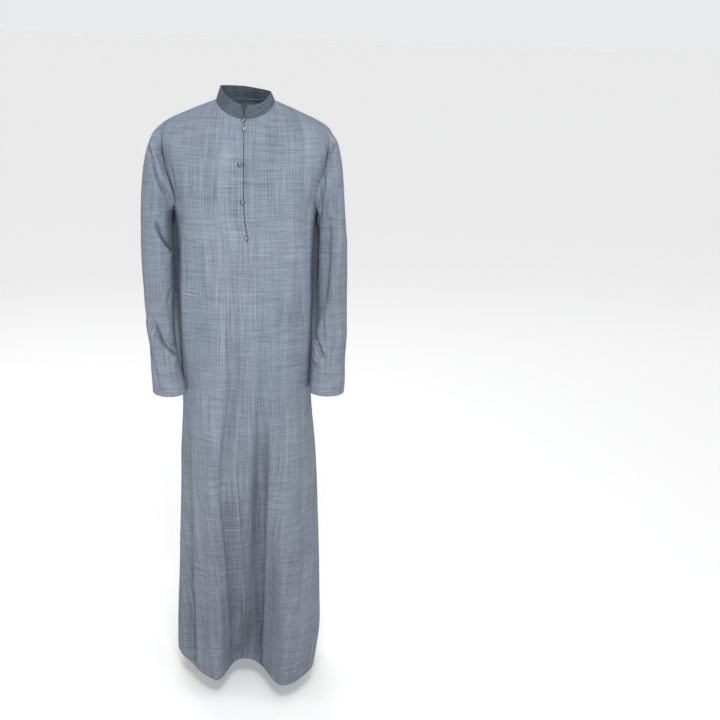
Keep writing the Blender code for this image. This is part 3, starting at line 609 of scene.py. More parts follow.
def crease_relief(sheet, laid, on_face=None):
    """Adds up creases' heights at points of a sheet. on_face says which points they may lie on."""
    flat = sheet.points.reshape(-1, 3)
    directions = sheet.normals.reshape(-1, 3)
    seen = flat if on_face is None else flat[on_face.reshape(-1)]
    total = np.zeros(len(flat))
    uneven, slow, fast = CREASE_UNEVEN
    for crease in laid:
        path, part = along_path(crease.path)
        low = path.min(0) - SEARCH_MARGIN
        high = path.max(0) + SEARCH_MARGIN
        close = seen[((seen[:, ::2] > low) & (seen[:, ::2] < high)).all(1)]
        if len(close) < NEAREST:
            continue
        gaps = (close[None, :, 0] - path[:, :1]) ** 2 + (close[None, :, 2] - path[:, 1:]) ** 2
        nearest = np.argpartition(gaps, NEAREST - 1, axis=1)[:, :NEAREST]
        weight = 1 / (np.take_along_axis(gaps, nearest, axis=1) + 1e-7)
        y = (close[nearest, 1] * weight).sum(1) / weight.sum(1)
        line = np.stack([path[:, 0], y, path[:, 1]], axis=-1)
        tangent = unit(np.gradient(line, axis=0))
        reach = CREASE_REACH * crease.width
        inside = (flat > line.min(0) - reach) & (flat < line.max(0) + reach)
        near = np.where(inside.all(1))[0]
        if len(near) == 0:
            continue
        for block in np.array_split(near, max(len(near) * len(line) // BLOCK, 1)):
            gap = ((flat[block][:, None] - line[None]) ** 2).sum(-1)
            spot = gap.argmin(1)
            apart = np.sqrt(gap[np.arange(len(block)), spot]) / crease.width
            side = np.cross(tangent[spot], directions[block])
            sign = np.sign(((flat[block] - line[spot]) * side).sum(-1)) * np.sign(crease.depth)
            s = part[spot]
            taper = window(0, crease.fade_in, 1 - crease.fade_out, 1, s)
            wave = np.sin(slow * s + 40 * crease.width) * np.sin(fast * s)
            taper = taper * (1 + uneven * wave)
            shape = crease_shape(crease.kind, apart, sign * apart)
            total[block] += abs(crease.depth) * taper * shape
    return total.reshape(sheet.points.shape[:-1])


def ripple(a, b, seed, size=64):
    """Gives a smooth unevenness from -1 to 1 over two coordinates, with one bump to a unit."""
    numbers = np.random.default_rng(seed).uniform(-1, 1, (size, size))
    left = np.floor(a).astype(int)
    low = np.floor(b).astype(int)
    p = ease(0, 1, a - left)
    q = ease(0, 1, b - low)
    near = numbers[left % size, low % size] * (1 - p) + numbers[(left + 1) % size, low % size] * p
    low = low + 1
    far = numbers[left % size, low % size] * (1 - p) + numbers[(left + 1) % size, low % size] * p
    return near * (1 - q) + far * q


# ---- meshes


def rounded(distance, radius):
    """Gives how full a folded edge is at a distance from it, from 0 at the edge to 1."""
    t = np.clip(distance / radius, 0.0, 1.0)
    return np.sqrt(np.clip(1 - (1 - t) ** 2, 0.0, 1.0))


def grid_faces(rows, columns):
    """Gives the four corners of every face of a grid."""
    number = np.arange(rows * columns).reshape(rows, columns)
    corners = (number[:-1, :-1], number[1:, :-1], number[1:, 1:], number[:-1, 1:])
    return np.stack(corners, axis=-1).reshape(-1, 4)


def tube_faces(number):
    """Gives the faces between rings of numbered points. The last two axes are rings and points."""
    after = np.roll(number, -1, axis=-1)
    corners = (number[..., :-1, :], number[..., 1:, :], after[..., 1:, :], after[..., :-1, :])
    return np.stack(corners, axis=-1).reshape(-1, 4)


def border(faces):
    """Gives the edges that only one face uses, in that face's direction."""
    start = faces.ravel()
    end = np.roll(faces, -1, axis=1).ravel()
    key = np.minimum(start, end).astype(np.int64) * (faces.max() + 1) + np.maximum(start, end)
    _, first, uses = np.unique(key, return_index=True, return_counts=True)
    alone = first[uses == 1]
    return np.stack([start[alone], end[alone]], axis=-1)


def make_object(name, points, faces, material, uv, angle=60):
    """Makes one object from points and faces. uv gives each point's distances along the cloth."""
    used, faces = np.unique(faces, return_inverse=True)
    faces = faces.reshape(-1, 4)
    mesh = bpy.data.meshes.new(name)
    mesh.vertices.add(len(used))
    mesh.vertices.foreach_set("co", points[used].astype(np.float32).ravel())
    mesh.loops.add(faces.size)
    mesh.loops.foreach_set("vertex_index", faces.astype(np.int32).ravel())
    mesh.polygons.add(len(faces))
    mesh.polygons.foreach_set("loop_start", np.arange(0, faces.size, 4, dtype=np.int32))
    layer = mesh.uv_layers.new(name="cloth")
    layer.data.foreach_set("uv", uv[used][faces.ravel()].astype(np.float32).ravel())
    mesh.update(calc_edges=True)
    mesh.validate()
    mesh.shade_smooth()
    mesh.set_sharp_from_angle(angle=radians(angle))
    mesh.materials.append(material)
    return add_object(name, mesh)


def add_object(name, data):
    """Puts one object in the scene."""
    made = bpy.data.objects.new(name, data)
    bpy.context.scene.collection.objects.link(made)
    return made


def make_cloth(name, sheet, walls, material, faces=None):
    """Makes a sheet's closed wall, between an outer and an inner height over the sheet."""
    rows, columns = sheet.points.shape[:2]
    count = rows * columns
    faces = grid_faces(rows, columns) if faces is None else faces
    if sheet.turn < 0:
        faces = faces[:, ::-1]
    sides = [(sheet.points + sheet.normals * wall[..., None]).reshape(-1, 3) for wall in walls]
    edge = border(faces)
    rim = np.stack([edge[:, 1], edge[:, 0], edge[:, 0] + count, edge[:, 1] + count], axis=-1)
    quads = np.concatenate([faces, faces[:, ::-1] + count, rim])
    uv = np.stack([sheet.u.ravel(), sheet.v.ravel()], axis=-1)
    return make_object(name, np.concatenate(sides), quads, material, np.concatenate([uv, uv]))


# ---- stitches

STITCH = 0.0026  # the length of a stitch
STITCH_GAP = 0.0009
STITCH_THICK = 0.00026  # the thread's radius
STITCH_FLAT = 0.8  # its height as a part of its width
STITCH_SIDES = 6
# Rings along a stitch: the part of its length, how full it is, and its height in thicknesses.
STITCH_RINGS = table(
    "part full lift",
    (0, 0.35, -0.9),
    (0.22, 0.9, 0.1),
    (0.5, 1, 0.35),
    (0.78, 0.9, 0.1),
    (1, 0.35, -0.9),
)


def read_line(places, travelled, line):
    """Gives the points at distances along a line of close points."""
    return np.stack([np.interp(places, travelled, line[:, axis]) for axis in range(3)], axis=-1)


def stitch_line(line, normals):
    """Gives the points and faces of a row of stitches along a line of close points."""
    travelled = run_lengths(line, 0)
    starts = np.arange(STITCH_GAP, travelled[-1] - STITCH, STITCH + STITCH_GAP)
    sides = np.linspace(0, 2 * pi, STITCH_SIDES, endpoint=False)[:, None]
    places = starts[:, None] + STITCH_RINGS["part"] * STITCH
    centre = read_line(places, travelled, line)
    normal = unit(read_line(places, travelled, normals))
    across = unit(np.cross(unit(np.gradient(centre, axis=1)), normal))
    centre = centre + normal * (STITCH_RINGS["lift"] * STITCH_THICK)[:, None]
    turned = across[:, :, None] * np.cos(sides) + normal[:, :, None] * np.sin(sides) * STITCH_FLAT
    points = centre[:, :, None] + turned * (STITCH_RINGS["full"] * STITCH_THICK)[:, None, None]
    number = np.arange(points.size // 3).reshape(points.shape[:-1])
    faces = [tube_faces(number)]
    for order in ([0, 1, 2, 3], [3, 4, 5, 0]):
        faces.append(number[:, 0][:, order])
    for order in ([3, 2, 1, 0], [0, 5, 4, 3]):
        faces.append(number[:, -1][:, order])
    return points.reshape(-1, 3), np.concatenate(faces)


def sew_rows(name, lines, material):
    """Makes one object of several rows of stitches."""
    points = np.zeros((0, 3))
    faces = []
    for line, normals in lines:
        more, quads = stitch_line(line, normals)
        faces.append(quads + len(points))
        points = np.concatenate([points, more])
    return make_object(name, points, np.concatenate(faces), material, points[:, ::2], angle=80)


# ---- how finely each sheet is cut

UPPER_STEPS = 80  # rows from the top edge to the underarm
BODY_COLUMNS = 172  # columns from side seam to side seam, nearly
SLEEVE_STEPS = 170  # rings down a sleeve, apart from its two ends
FOLD_SMOOTHING = 14  # rounds of smoothing across the large folds
DOWN = (1 - np.cos(pi * np.arange(UPPER_STEPS + 1) / UPPER_STEPS)) / 2
HEM_STEPS = [0.0475, 0.0455, 0.0442, 0.0430, 0.0415, 0.0380, 0.0300, 0.0200]
HEM_STEPS += [0.0120, 0.0070, 0.0040, 0.0022, 0.0011, 0.0004, 0.0]
LOWER_STEPS = 154  # rows from there to just above the hem's stitches
LOWER = np.linspace(UNDERARM, HEM + 0.052, LOWER_STEPS)[1:]
LOWER = np.concatenate([LOWER, HEM + np.array(HEM_STEPS)])
NECK_DENSE = 1.35  # how much closer the columns are at the neck
SEAM_STRIP = 0.0075  # the strip beside a side seam with finer columns, at these distances
SEAM_STEPS = np.array([0.0050, 0.0030, 0.0016, 0.0007, 0.0])
CUFF_STEPS = [0.9635, 0.9675, 0.9700, 0.9720, 0.9745, 0.980, 0.987, 0.993, 0.9965, 0.9985, 1.0]
ALONG_SLEEVE = np.concatenate(
    [[0.0, 0.001, 0.0024, 0.0045, 0.0075], np.linspace(0.011, 0.955, SLEEVE_STEPS), CUFF_STEPS]
)
OVER_KEYS = [0, 0.0004, 0.001, 0.0018, 0.0030, 0.0042, 0.0056, 0.008, 0.0105, 0.013, 0.0155, 0.018]
OVER_KEYS += [0.0198, 0.0212, 0.0222, 0.0230, 0.0236, OVER_WIDE]
UNDER_KEYS = [0, 0.0004, 0.001, 0.0018, 0.003, 0.0045, 0.006, 0.0075, 0.0085, 0.0094, 0.0101]
UNDER_KEYS += [0.0106, UNDER_WIDE]


def column_keys(count):
    """Names the columns of a body panel by their x at the underarm."""
    quarter = np.linspace(0, pi / 2, 721)
    x, deep = ring_offset(FRONT, quarter, np.full_like(quarter, UNDERARM))
    travelled = run_lengths(np.stack([x, deep], axis=-1), 0)
    neck = np.interp(NECK_HALF, x, travelled)
    neck_count = int(count / 2 * neck / travelled[-1])
    inner = NECK_HALF * np.sin(np.linspace(0, pi / 2, int(neck_count * NECK_DENSE) + 1))
    spots = np.linspace(neck, travelled[-1] - SEAM_STRIP, count // 2 - neck_count)[1:]
    outer = np.interp(np.concatenate([spots, travelled[-1] - SEAM_STEPS]), travelled, x)
    half = np.concatenate([inner[1:], outer])
    return np.concatenate([-half[::-1], [0.0], half])


# ---- seams and hanging cloth

# Each groove is how deep the cloth turns in along a line, and how wide.
SEAM_GROOVE = (0.0011, 0.0028)
STITCH_GROOVE = (0.00045, 0.0014)
STRIP_GROOVE = (0.00030, 0.0010)
COLLAR_GROOVE = (0.00028, 0.0010)
COLLAR_SEAM = (0.0006, 0.0016)

EDGE_ROUND = 0.0016  # the radius of a folded edge, how far its face drops, and how thin it ends
EDGE_DROP = 0.0009
EDGE_THIN = 0.35
COLLAR_ROUND = 0.0015
COLLAR_THIN = 0.22
STRIP_ROUND = 0.0009
STRIP_THIN = 0.30
PRESSED = 0.0060  # where a strip is pressed down into the front: how far from its edge
PRESSED_THIN = 0.16
HEM_EASE = (-0.0012, 0.0004)  # a hem's turned cloth ends between these distances from its depth
CREST_ZONE = (-0.85, -1.30)  # heights between which the folds' crests start to be rounded
FACING = 0.12  # how far round a sleeve, by its normal, a crease of either face may reach
VALLEY_DEEP = 0.033
BODY_VALLEY = 0.009  # how far from the seam the valley reaches on the front, and on a sleeve
SLEEVE_VALLEY = 0.020
SLEEVE_ROLL = 0.0060
PUFF_TALL = 0.0030  # puffs beside a gathered seam: height, place, width and length
PUFF_PLACE = 0.0135
PUFF_WIDE = 0.0085
PUFF_LONG = 0.021

BODY_SHARE = 0.8  # the puffs' height on the body, as a part of that on the sleeves
BODY_SEED = 41
SLEEVE_SEED = 43

# Distances from a seam between which the creases fade in: at the body's side seams and armholes, at
# its top edge, at a sleeve's seam under the arm, and at its armhole.
CALM_SIDE = (0.001, 0.012)
CALM_TOP = (0.0, 0.010)
CALM_SLEEVE = (0.0, 0.010)
CALM_ARMHOLE = (0.002, 0.016)

# The body's waves: their height, the part of it above and at the hem, their length across and down,
# how they slant, and their shifts.
BODY_WAVES = (
    (0.0012, 0.4, 1.4, 0.075, 0.34, 0, 9, 7),
    (0.0006, 0.5, 1.5, 0.034, 0.15, 0, 21, 3),
    (0.00022, 1, 1, 0.017, 0.052, 0.3, 30, 11),
)
WAVES_GROW = (-0.55, -1.1)  # heights between which they grow
# The sleeves' waves: their height, how many there are round a sleeve, their length down it, how
# they slant, their shift round it, their shifts down the right and the left one, their seed, and
# the part of the way round over which they fade at the seam.
SLEEVE_WAVES = (
    (0.0016, 12, 0.085, 0, 0, (17, 5), 15, 0.10),
    (0.0015, 15, 0.190, 0, 3, (9, 2), 19, 0.08),
    (0.0005, 26, 0.040, 9, 0, (9, 9), 16, 0.06),
)

# Where the valley along the front of an armhole may lie: beyond this x, between these heights, and
# between these depths for its fade.
VALLEY_X = 0.12
VALLEY_Z = (-0.09, -0.28)
VALLEY_Y = (-0.010, -0.045)
ROLL_REACH = (0.001, 0.010, 0.011, 0.040)  # distances: where a roll starts, is full, fades, ends

# Heights between which the cloth does something beside an armhole: start, full, fade and end.
VALLEY_ZONE = (-0.095, -0.155, -0.235, -0.270)
ROLL_ZONE = (-0.110, -0.165, -0.235, -0.264)
BODY_PUFFS = (-0.075, -0.125, -0.215, -0.262)
SLEEVE_PUFFS = (-0.085, -0.135, -0.225, -0.268)


def groove(distance, deep, wide):
    """Gives how far a seam or a row of stitches pulls the cloth in."""
    return -deep * bell(distance, wide)


def hem_pull(x):
    """Gives how strongly a hem's stitches pull, which varies along them."""
    return 0.75 + 0.25 * np.sin(x * 210) * np.sin(x * 67 + 1)


def seam_puff(distance, along, seed):
    """Gives how far the cloth stands up beside a gathered seam, unevenly along it."""
    uneven = 0.75 + 0.45 * ripple(along / PUFF_LONG, 0 * along + 0.5, seed)
    return PUFF_TALL * uneven * bell(distance - PUFF_PLACE, PUFF_WIDE)


def armhole_roll(distance, height, tall):
    """Gives how far the cloth rolls up beside the lower part of an armhole."""
    return tall * window(*ROLL_ZONE, height) * window(*ROLL_REACH, distance)


def armhole_valley(points, armhole, wide):
    """Sinks the cloth along the front of an armhole, where it is pulled in under the arm."""
    top, foot = VALLEY_Z
    line = armhole[(armhole[:, 2] < top) & (armhole[:, 1] < 0)]
    moved = points.reshape(-1, 3).copy()
    x, y, z = moved.T
    near = np.where((np.abs(x) > VALLEY_X) & (z < top) & (z > foot) & (y < 0))[0]
    gap = np.hypot(x[near, None] - line[:, 0], z[near, None] - line[:, 2]).min(axis=1)
    depth = VALLEY_DEEP * window(*VALLEY_ZONE, z[near]) * np.exp(-gap / wide)
    moved[near, 1] += depth * ease(*VALLEY_Y, y[near])
    return moved.reshape(points.shape)


def unevenness(points, seed):
    """Gives the soft unevenness of hanging cloth, longer down than across."""
    x = points[..., 0]
    z = points[..., 2]
    low = ease(*WAVES_GROW, z)
    total = np.zeros_like(z)
    for number, (tall, upper, lower, wide, high, slant, right, up) in enumerate(BODY_WAVES):
        wave = ripple((x + slant * z) / wide + right, z / high + up, seed + number)
        total += tall * between((upper, lower), low) * wave
    return total


def body_relief(sheet, panel):
    """Gives the creases and the unevenness of a body panel on a sheet that lies on it."""
    return crease_relief(sheet, panel.creases) + unevenness(sheet.points, panel.seed)


def rounded_folds(points):
    """Rounds the crests of the large folds, as cloth bends, more towards the hem."""
    strength = ease(*CREST_ZONE, points[:, 1:-1, 2:])
    for _ in range(FOLD_SMOOTHING):
        middle = points[:, 1:-1]
        beside = (points[:, :-2] + points[:, 2:]) / 2
        moved = middle + (beside - middle) * 0.5 * strength
        moved[..., 2] = middle[..., 2]
        points = np.concatenate([points[:, :1], moved, points[:, -1:]], axis=1)
    return points


# ---- body and sleeves


def body_sheet(panel, keys):
    """Makes one body panel's sheet."""
    points = body_points(panel, keys, DOWN, LOWER)
    if panel is FRONT:
        for edge in (0, -1):
            points = armhole_valley(points, points[: UPPER_STEPS + 1, edge], BODY_VALLEY)
    sheet = Sheet(rounded_folds(points), -panel.face)
    upper = np.arange(len(points))[:, None] <= UPPER_STEPS
    seam = sheet.from_side
    height = sheet.points[..., 2]
    relief = body_relief(sheet, panel)
    relief = relief * ease(*CALM_SIDE, seam) * ease(*CALM_TOP, sheet.from_top)
    relief += groove(seam, *SEAM_GROOVE) + upper * groove(sheet.from_top, *SEAM_GROOVE)
    puffs = BODY_SHARE * window(*BODY_PUFFS, height) * seam_puff(seam, height, BODY_SEED)
    relief += upper * puffs
    relief += upper * armhole_roll(seam, height, panel.roll)
    relief += groove(height - (HEM + HEM_DEEP), *STITCH_GROOVE) * hem_pull(sheet.points[..., 0])
    sheet.lay_flat(int(np.argmin(np.abs(keys))), UPPER_STEPS)
    sheet.raise_by(relief)
    return sheet


def slit_faces(rows, columns, column, below):
    """Gives a grid's faces with a slit between two columns that are one below a row."""
    faces = grid_faces(rows, columns).reshape(rows - 1, columns - 1, 4)
    faces = np.delete(faces, column, axis=1).reshape(-1, 4)
    merged = (faces // columns >= below) & (faces % columns == column + 1)
    return np.where(merged, faces - 1, faces)


def round_sleeve(side, points, outer_line):
    """Gives the distance round a sleeve's cloth from its outer line, at each height."""
    height = points[..., 2]
    outer = read(SLEEVE_RINGS, f"outer_z{side}", f"outer_x{side}", height)
    inner = read(SLEEVE_RINGS, "inner_z", f"inner_x{side}", height)
    deep = read(SLEEVE_RINGS, f"outer_z{side}", "half_depth", height)
    forward = read(SLEEVE_RINGS, f"outer_z{side}", "forward", height)
    wide = np.maximum((outer - inner) / 2, LEAST_HALF)
    front = np.abs(points[..., 1] + forward) / deep
    turn = np.arctan2(front, (side * points[..., 0] - outer + wide) / wide)
    sense = np.where(np.arange(points.shape[1]) < outer_line, -1, 1)
    return turn * sense * (wide + deep) / 2


def sleeve_sheet(side, front, back, front_creases, back_creases):
    """Makes one sleeve's sheet, cut open along the seam under the arm."""
    points = sleeve_points(side, front, back, DOWN, ALONG_SLEEVE)
    armhole = front[: UPPER_STEPS + 1, -1 if side > 0 else 0]
    points = armhole_valley(points, armhole, SLEEVE_VALLEY)
    count = points.shape[1]
    order = np.concatenate([np.arange(count // 2, count), np.arange(0, count // 2 + 1)])
    sheet = Sheet(points[:, order], -side, joined=True)
    sheet.u = round_sleeve(side, sheet.points, count - count // 2)
    sheet.v = -sheet.points[..., 2] * SLANT
    facing = sheet.normals[..., 1]
    relief = crease_relief(sheet, front_creases, facing < FACING)
    relief += crease_relief(sheet, back_creases, facing > -FACING)
    turn = np.linspace(0, 1, len(order))[None, :] + 0 * relief
    for tall, number, high, slant, right, up, seed, fade in SLEEVE_WAVES:
        place = turn * number + sheet.v * slant + right
        wave = ripple(place, sheet.v / high + up[side > 0], seed)
        relief += tall * wave * window(0, fade, 1 - fade, 1, turn)
    seam = sheet.from_side
    top = sheet.from_top
    relief = relief * ease(*CALM_SLEEVE, seam) * ease(*CALM_ARMHOLE, top)
    relief += groove(seam, *SEAM_GROOVE) + groove(top, *SEAM_GROOVE)
    level = sheet.points[:1, :, 2] + 0 * relief
    relief += seam_puff(top, level, SLEEVE_SEED) * window(*SLEEVE_PUFFS, level)
    relief += armhole_roll(top, level, SLEEVE_ROLL)
    relief += groove(sheet.from_foot - CUFF_DEEP, *STITCH_GROOVE) * hem_pull(sheet.u * 2)
    sheet.raise_by(relief)
    return sheet


def turned_walls(sheet, from_edge, deep):
    """Gives the outer and inner heights of a wall: its rolled edge, its hem or cuff, its seams."""
    edge = rounded(sheet.from_foot, EDGE_ROUND)
    hem = 1 - ease(*HEM_EASE, from_edge - deep)
    allowance = 1 - ease(*ALLOWANCE, np.minimum(sheet.from_side, sheet.from_top))
    inner = -CLOTH - TURNING * np.maximum(hem, allowance)
    return (edge - 1) * EDGE_DROP, inner * between((EDGE_THIN, 1.0), edge)


# ---- collar

COLLAR_ROWS = np.concatenate(
    [[0.0, 0.03, 0.08], np.linspace(0.15, 0.86, 11), [0.91, 0.945, 0.97, 0.985, 0.995, 1.0]]
)
COLLAR_STITCH = 0.0042  # from the upper edge and the ends
COLLAR_COLUMNS = 150
END_STEPS = np.array([0.0, 0.0006, 0.0014, 0.0025, 0.004, 0.006])  # finer columns at its ends
END_STRIP = 0.0075
COLLAR_SEAM_ROW = 0.0030  # how far the groove over the neck's seam is from it
COLLAR_FAINT = 0.0002  # keeps that groove a little fainter than the others
# The collar's waves: their height, their length and shift each way, and their seed.
COLLAR_WAVES = ((0.0004, 0.028, 5, 0.03, 2, 33), (0.00025, 0.010, 8, 0.02, 4, 34))
COLLAR_CALM = (0, 0.008)


def collar_sheet():
    """Makes the collar's sheet, from its end on the wearer's left round the neck to the other."""
    spread = NECK_HALF * np.sin(np.linspace(-pi / 2, pi / 2, COLLAR_COLUMNS))
    left = np.concatenate([OPENING_X + END_STEPS, spread[spread > OPENING_X + END_STRIP]])
    right = np.concatenate([spread[spread < OPENING_X - END_STRIP], OPENING_X - END_STEPS[::-1]])
    parts = ((FRONT, left), (BACK, spread[::-1][1:-1]), (FRONT, right))
    base = np.concatenate([upper_points(panel, keys, np.zeros(1))[0] for panel, keys in parts])
    travelled = run_lengths(base, 0)
    from_end = np.minimum(travelled, travelled[-1] - travelled)
    side = np.where(travelled < travelled[-1] / 2, 1, -1)
    turn = np.degrees(np.arctan2(np.abs(base[:, 0]), -base[:, 1]))
    within = np.maximum(COLLAR_CORNER - from_end, 0)
    tall = read(COLLAR_HEIGHT, "degrees", "tall", turn)
    tall = tall - (COLLAR_CORNER - np.sqrt(np.maximum(COLLAR_CORNER**2 - within**2, 0)))
    up = COLLAR_ROWS[:, None]
    grid = base - unit(base * (1, 1, 0)) * COLLAR_LEAN * up[..., None]
    grid[..., 0] += side * between(NOTCH_HALF, up) * (1 - ease(0, NOTCH_REACH, from_end))
    grid[..., 2] += tall * up - between(COLLAR_ROLL, up) * base[:, 0] * up
    sheet = Sheet(grid, -1)
    sheet.u = sheet.from_first - sheet.from_first[:, -1:] / 2
    sheet.v = -sheet.from_top
    relief = np.zeros_like(sheet.u)
    for tall, wide, right, high, up_by, seed in COLLAR_WAVES:
        relief += tall * ripple(sheet.u / wide + right, sheet.v / high + up_by, seed)
    relief = relief * ease(*COLLAR_CALM, sheet.from_top)
    stitched = [np.abs(edge - COLLAR_STITCH) for edge in (sheet.from_foot, sheet.from_side)]
    stitched.append(np.abs(sheet.from_top - COLLAR_SEAM_ROW) + COLLAR_FAINT)
    sheet.raise_by(relief + groove(np.min(stitched, axis=0), *COLLAR_GROOVE))
    return sheet


def collar_walls(sheet):
    """Gives the heights of the collar's two faces, rounded at its folded edges."""
    edge = rounded(np.minimum(sheet.from_foot, sheet.from_side), COLLAR_ROUND)
    middle = -COLLAR_CLOTH / 2
    half = COLLAR_CLOTH / 2 * between((COLLAR_THIN, 1.0), edge)
    return middle + half + groove(sheet.from_top, *COLLAR_SEAM), middle - half


# ---- placket

SLIT_HALF = (0.0001, 0.0007)  # half the gap where it is closed and where it is open
SLIT_CLOSES = (-0.322, -0.336)
STRIP_STEPS = 66  # rows of a strip from the underarm's level to its foot
FOOT_STEPS = np.array([0.004, 0.0025, 0.0013, 0.0005, 0.0])
FOOT_REACH = 0.006
TOP_STEPS = np.array([0, 0.003, 0.008])
TOP_REACH = 0.014
STRIP_BELOW = 0.0015  # how far a strip starts below the neck's seam


def slit_half(height):
    """Gives half the width of the gap along the opening, which closes below the lowest button."""
    return between(SLIT_HALF, 1 - ease(*SLIT_CLOSES, height))


def strip_sheet(keys, side):
    """Makes the sheet that a strip of the placket lies on: the front's own creased surface."""
    heights = np.linspace(UNDERARM, PLACKET_END + FOOT_REACH, STRIP_STEPS)[1:]
    heights = np.concatenate([heights, PLACKET_END + FOOT_STEPS])
    down = np.concatenate([STRIP_START + TOP_STEPS, DOWN[DOWN > STRIP_START + TOP_REACH]])
    points = body_points(FRONT, keys, down, heights)
    points[..., 0] += side * slit_half(points[..., 2])
    sheet = Sheet(points, 1)
    sheet.lay_flat(0, len(down) - 1, keys[0])
    sheet.raise_by(body_relief(sheet, FRONT) * ease(*CALM_TOP, sheet.from_top + STRIP_BELOW))
    return sheet


def strip_walls(sheet, thick, sharp_edge, soft_edge, stitched):
    """Gives the heights of a strip's two faces over the front, with its edges pressed flat."""
    edge = rounded(np.minimum(sharp_edge, sheet.from_top), STRIP_ROUND)
    pressed = ease(0.0, PRESSED, np.minimum(sheet.from_foot, soft_edge))
    full = np.minimum(between((STRIP_THIN, 1.0), edge), between((PRESSED_THIN, 1.0), pressed))
    outer = LIFT + thick * full
    for distance in stitched:
        outer = outer + groove(distance, *STRIP_GROOVE)
    return outer, np.full_like(outer, LIFT)


# ---- buttons and their loops

# A button by its height, how far it hangs to the wearer's right of the opening, and how it tips.
Button = namedtuple("Button", "height aside tip_right tip_down")
BUTTONS = (
    Button(-0.0470, 0.0000, 0.00, 0.10),
    Button(-0.0644, 0.0000, 0.05, 0.16),
    Button(-0.1444, 0.0085, 0.22, 0.10),
    Button(-0.2335, 0.0030, 0.08, 0.14),
    Button(-0.3200, 0.0000, -0.05, 0.12),
)
BUTTON_SIDES = 40
BUTTON_HALF = 0.0055  # a button's radius
DOME_FOOT = 0.0044
DOME_TALL = 0.0037
# The turned outline up to the dome's foot: the shank, the underside and the rim.
BUTTON_OUTLINE = [
    (0.0, 0.0),
    (0.0018, 0.0),
    (0.001476, 0.0008),
    (0.001476, 0.0018),
    (0.0018, 0.0021),
    (BUTTON_HALF * 0.62, 0.0022),
    (BUTTON_HALF * 0.86, 0.0025),
    (BUTTON_HALF * 0.97, 0.0029),
    (BUTTON_HALF, 0.0035),
    (BUTTON_HALF * 0.985, 0.0040),
    (BUTTON_HALF * 0.945, 0.0043),
    (BUTTON_HALF * 0.915, 0.0043),
]
BUTTON_OUTLINE += [
    (BUTTON_HALF * 0.90 * cos(rise), DOME_FOOT + DOME_TALL * sin(rise) ** 0.9)
    for rise in np.radians(np.arange(6, 91, 7))
]
BUTTON_OUTLINE.append((0.0, DOME_FOOT + DOME_TALL))

CORD_RADIUS = 0.0008
CORD_SIDES = 8
LOOP_POINTS = 36
LOOP_HALF = (0.0034, 0.0027)  # half the width of a button's loop of cord, and half its height
LOOP_TAPER = 0.0006  # how much lower it is on the side of the strip
LOOP_PLACE = (0.0006, 0.0009)  # how far it reaches over the opening, and over the cloth
AWAY = (0.1, -1.0, 0.15)  # a direction that no part of a loop runs along


def axes(direction):
    """Gives a level axis, a rising one and the direction itself."""
    z_axis = unit(direction)
    x_axis = unit(np.cross([0, 0, 1], z_axis))
    return x_axis, np.cross(z_axis, x_axis), z_axis


def turned_button(name, place, direction, button, material):
    """Makes one button standing on the cloth, tipped a little."""
    x_axis, y_axis, z_axis = axes(direction)
    x_axis, y_axis, z_axis = axes(z_axis - x_axis * button.tip_right - y_axis * button.tip_down)
    turns = (2 * pi * np.arange(BUTTON_SIDES) / BUTTON_SIDES)[:, None]
    spoke = np.cos(turns) * x_axis + np.sin(turns) * y_axis
    rings = [place + spoke * radius + z_axis * height for radius, height in BUTTON_OUTLINE]
    points = np.concatenate(rings)
    number = np.arange(len(points)).reshape(-1, BUTTON_SIDES)
    faces = np.roll(tube_faces(number)[:, ::-1], 1, axis=1)
    uv = np.stack([points @ x_axis, points @ y_axis], axis=-1)
    made = make_object(name, points, faces, material, uv, angle=35)
    work = bmesh.new()
    work.from_mesh(made.data)
    bmesh.ops.remove_doubles(work, verts=work.verts[:], dist=1e-6)
    work.to_mesh(made.data)
    work.free()
    return made


def cord_loop(name, place, direction, aside, material):
    """Makes the ring of cord that comes from the opening's edge round a button's shank."""
    x_axis, y_axis, z_axis = axes(direction)
    half = aside / 2 + LOOP_HALF[0]
    centre = place + x_axis * (aside / 2 + LOOP_PLACE[0]) + z_axis * LOOP_PLACE[1]
    turns = np.linspace(0, 2 * pi, LOOP_POINTS, endpoint=False)[:, None]
    tall = LOOP_HALF[1] - LOOP_TAPER * np.cos(turns)
    line = centre + np.cos(turns) * x_axis * half + np.sin(turns) * tall * y_axis
    tangent = unit(np.roll(line, -1, 0) - np.roll(line, 1, 0))
    normal = unit(np.cross(tangent, AWAY))
    across = np.cross(tangent, normal)
    turns = 2 * pi * np.arange(CORD_SIDES) / CORD_SIDES
    spoke = normal[:, None] * np.cos(turns)[:, None] + across[:, None] * np.sin(turns)[:, None]
    points = (line[:, None] + spoke * CORD_RADIUS).reshape(-1, 3)
    number = np.arange(len(points)).reshape(-1, CORD_SIDES)
    faces = tube_faces(np.concatenate([number, number[:1]]))
    travelled = np.repeat(run_lengths(line, 0), CORD_SIDES)
    uv = np.stack([np.tile(turns * CORD_RADIUS, LOOP_POINTS), travelled], axis=-1)
    return make_object(name, points, faces, material, uv, angle=80)


# ---- materials


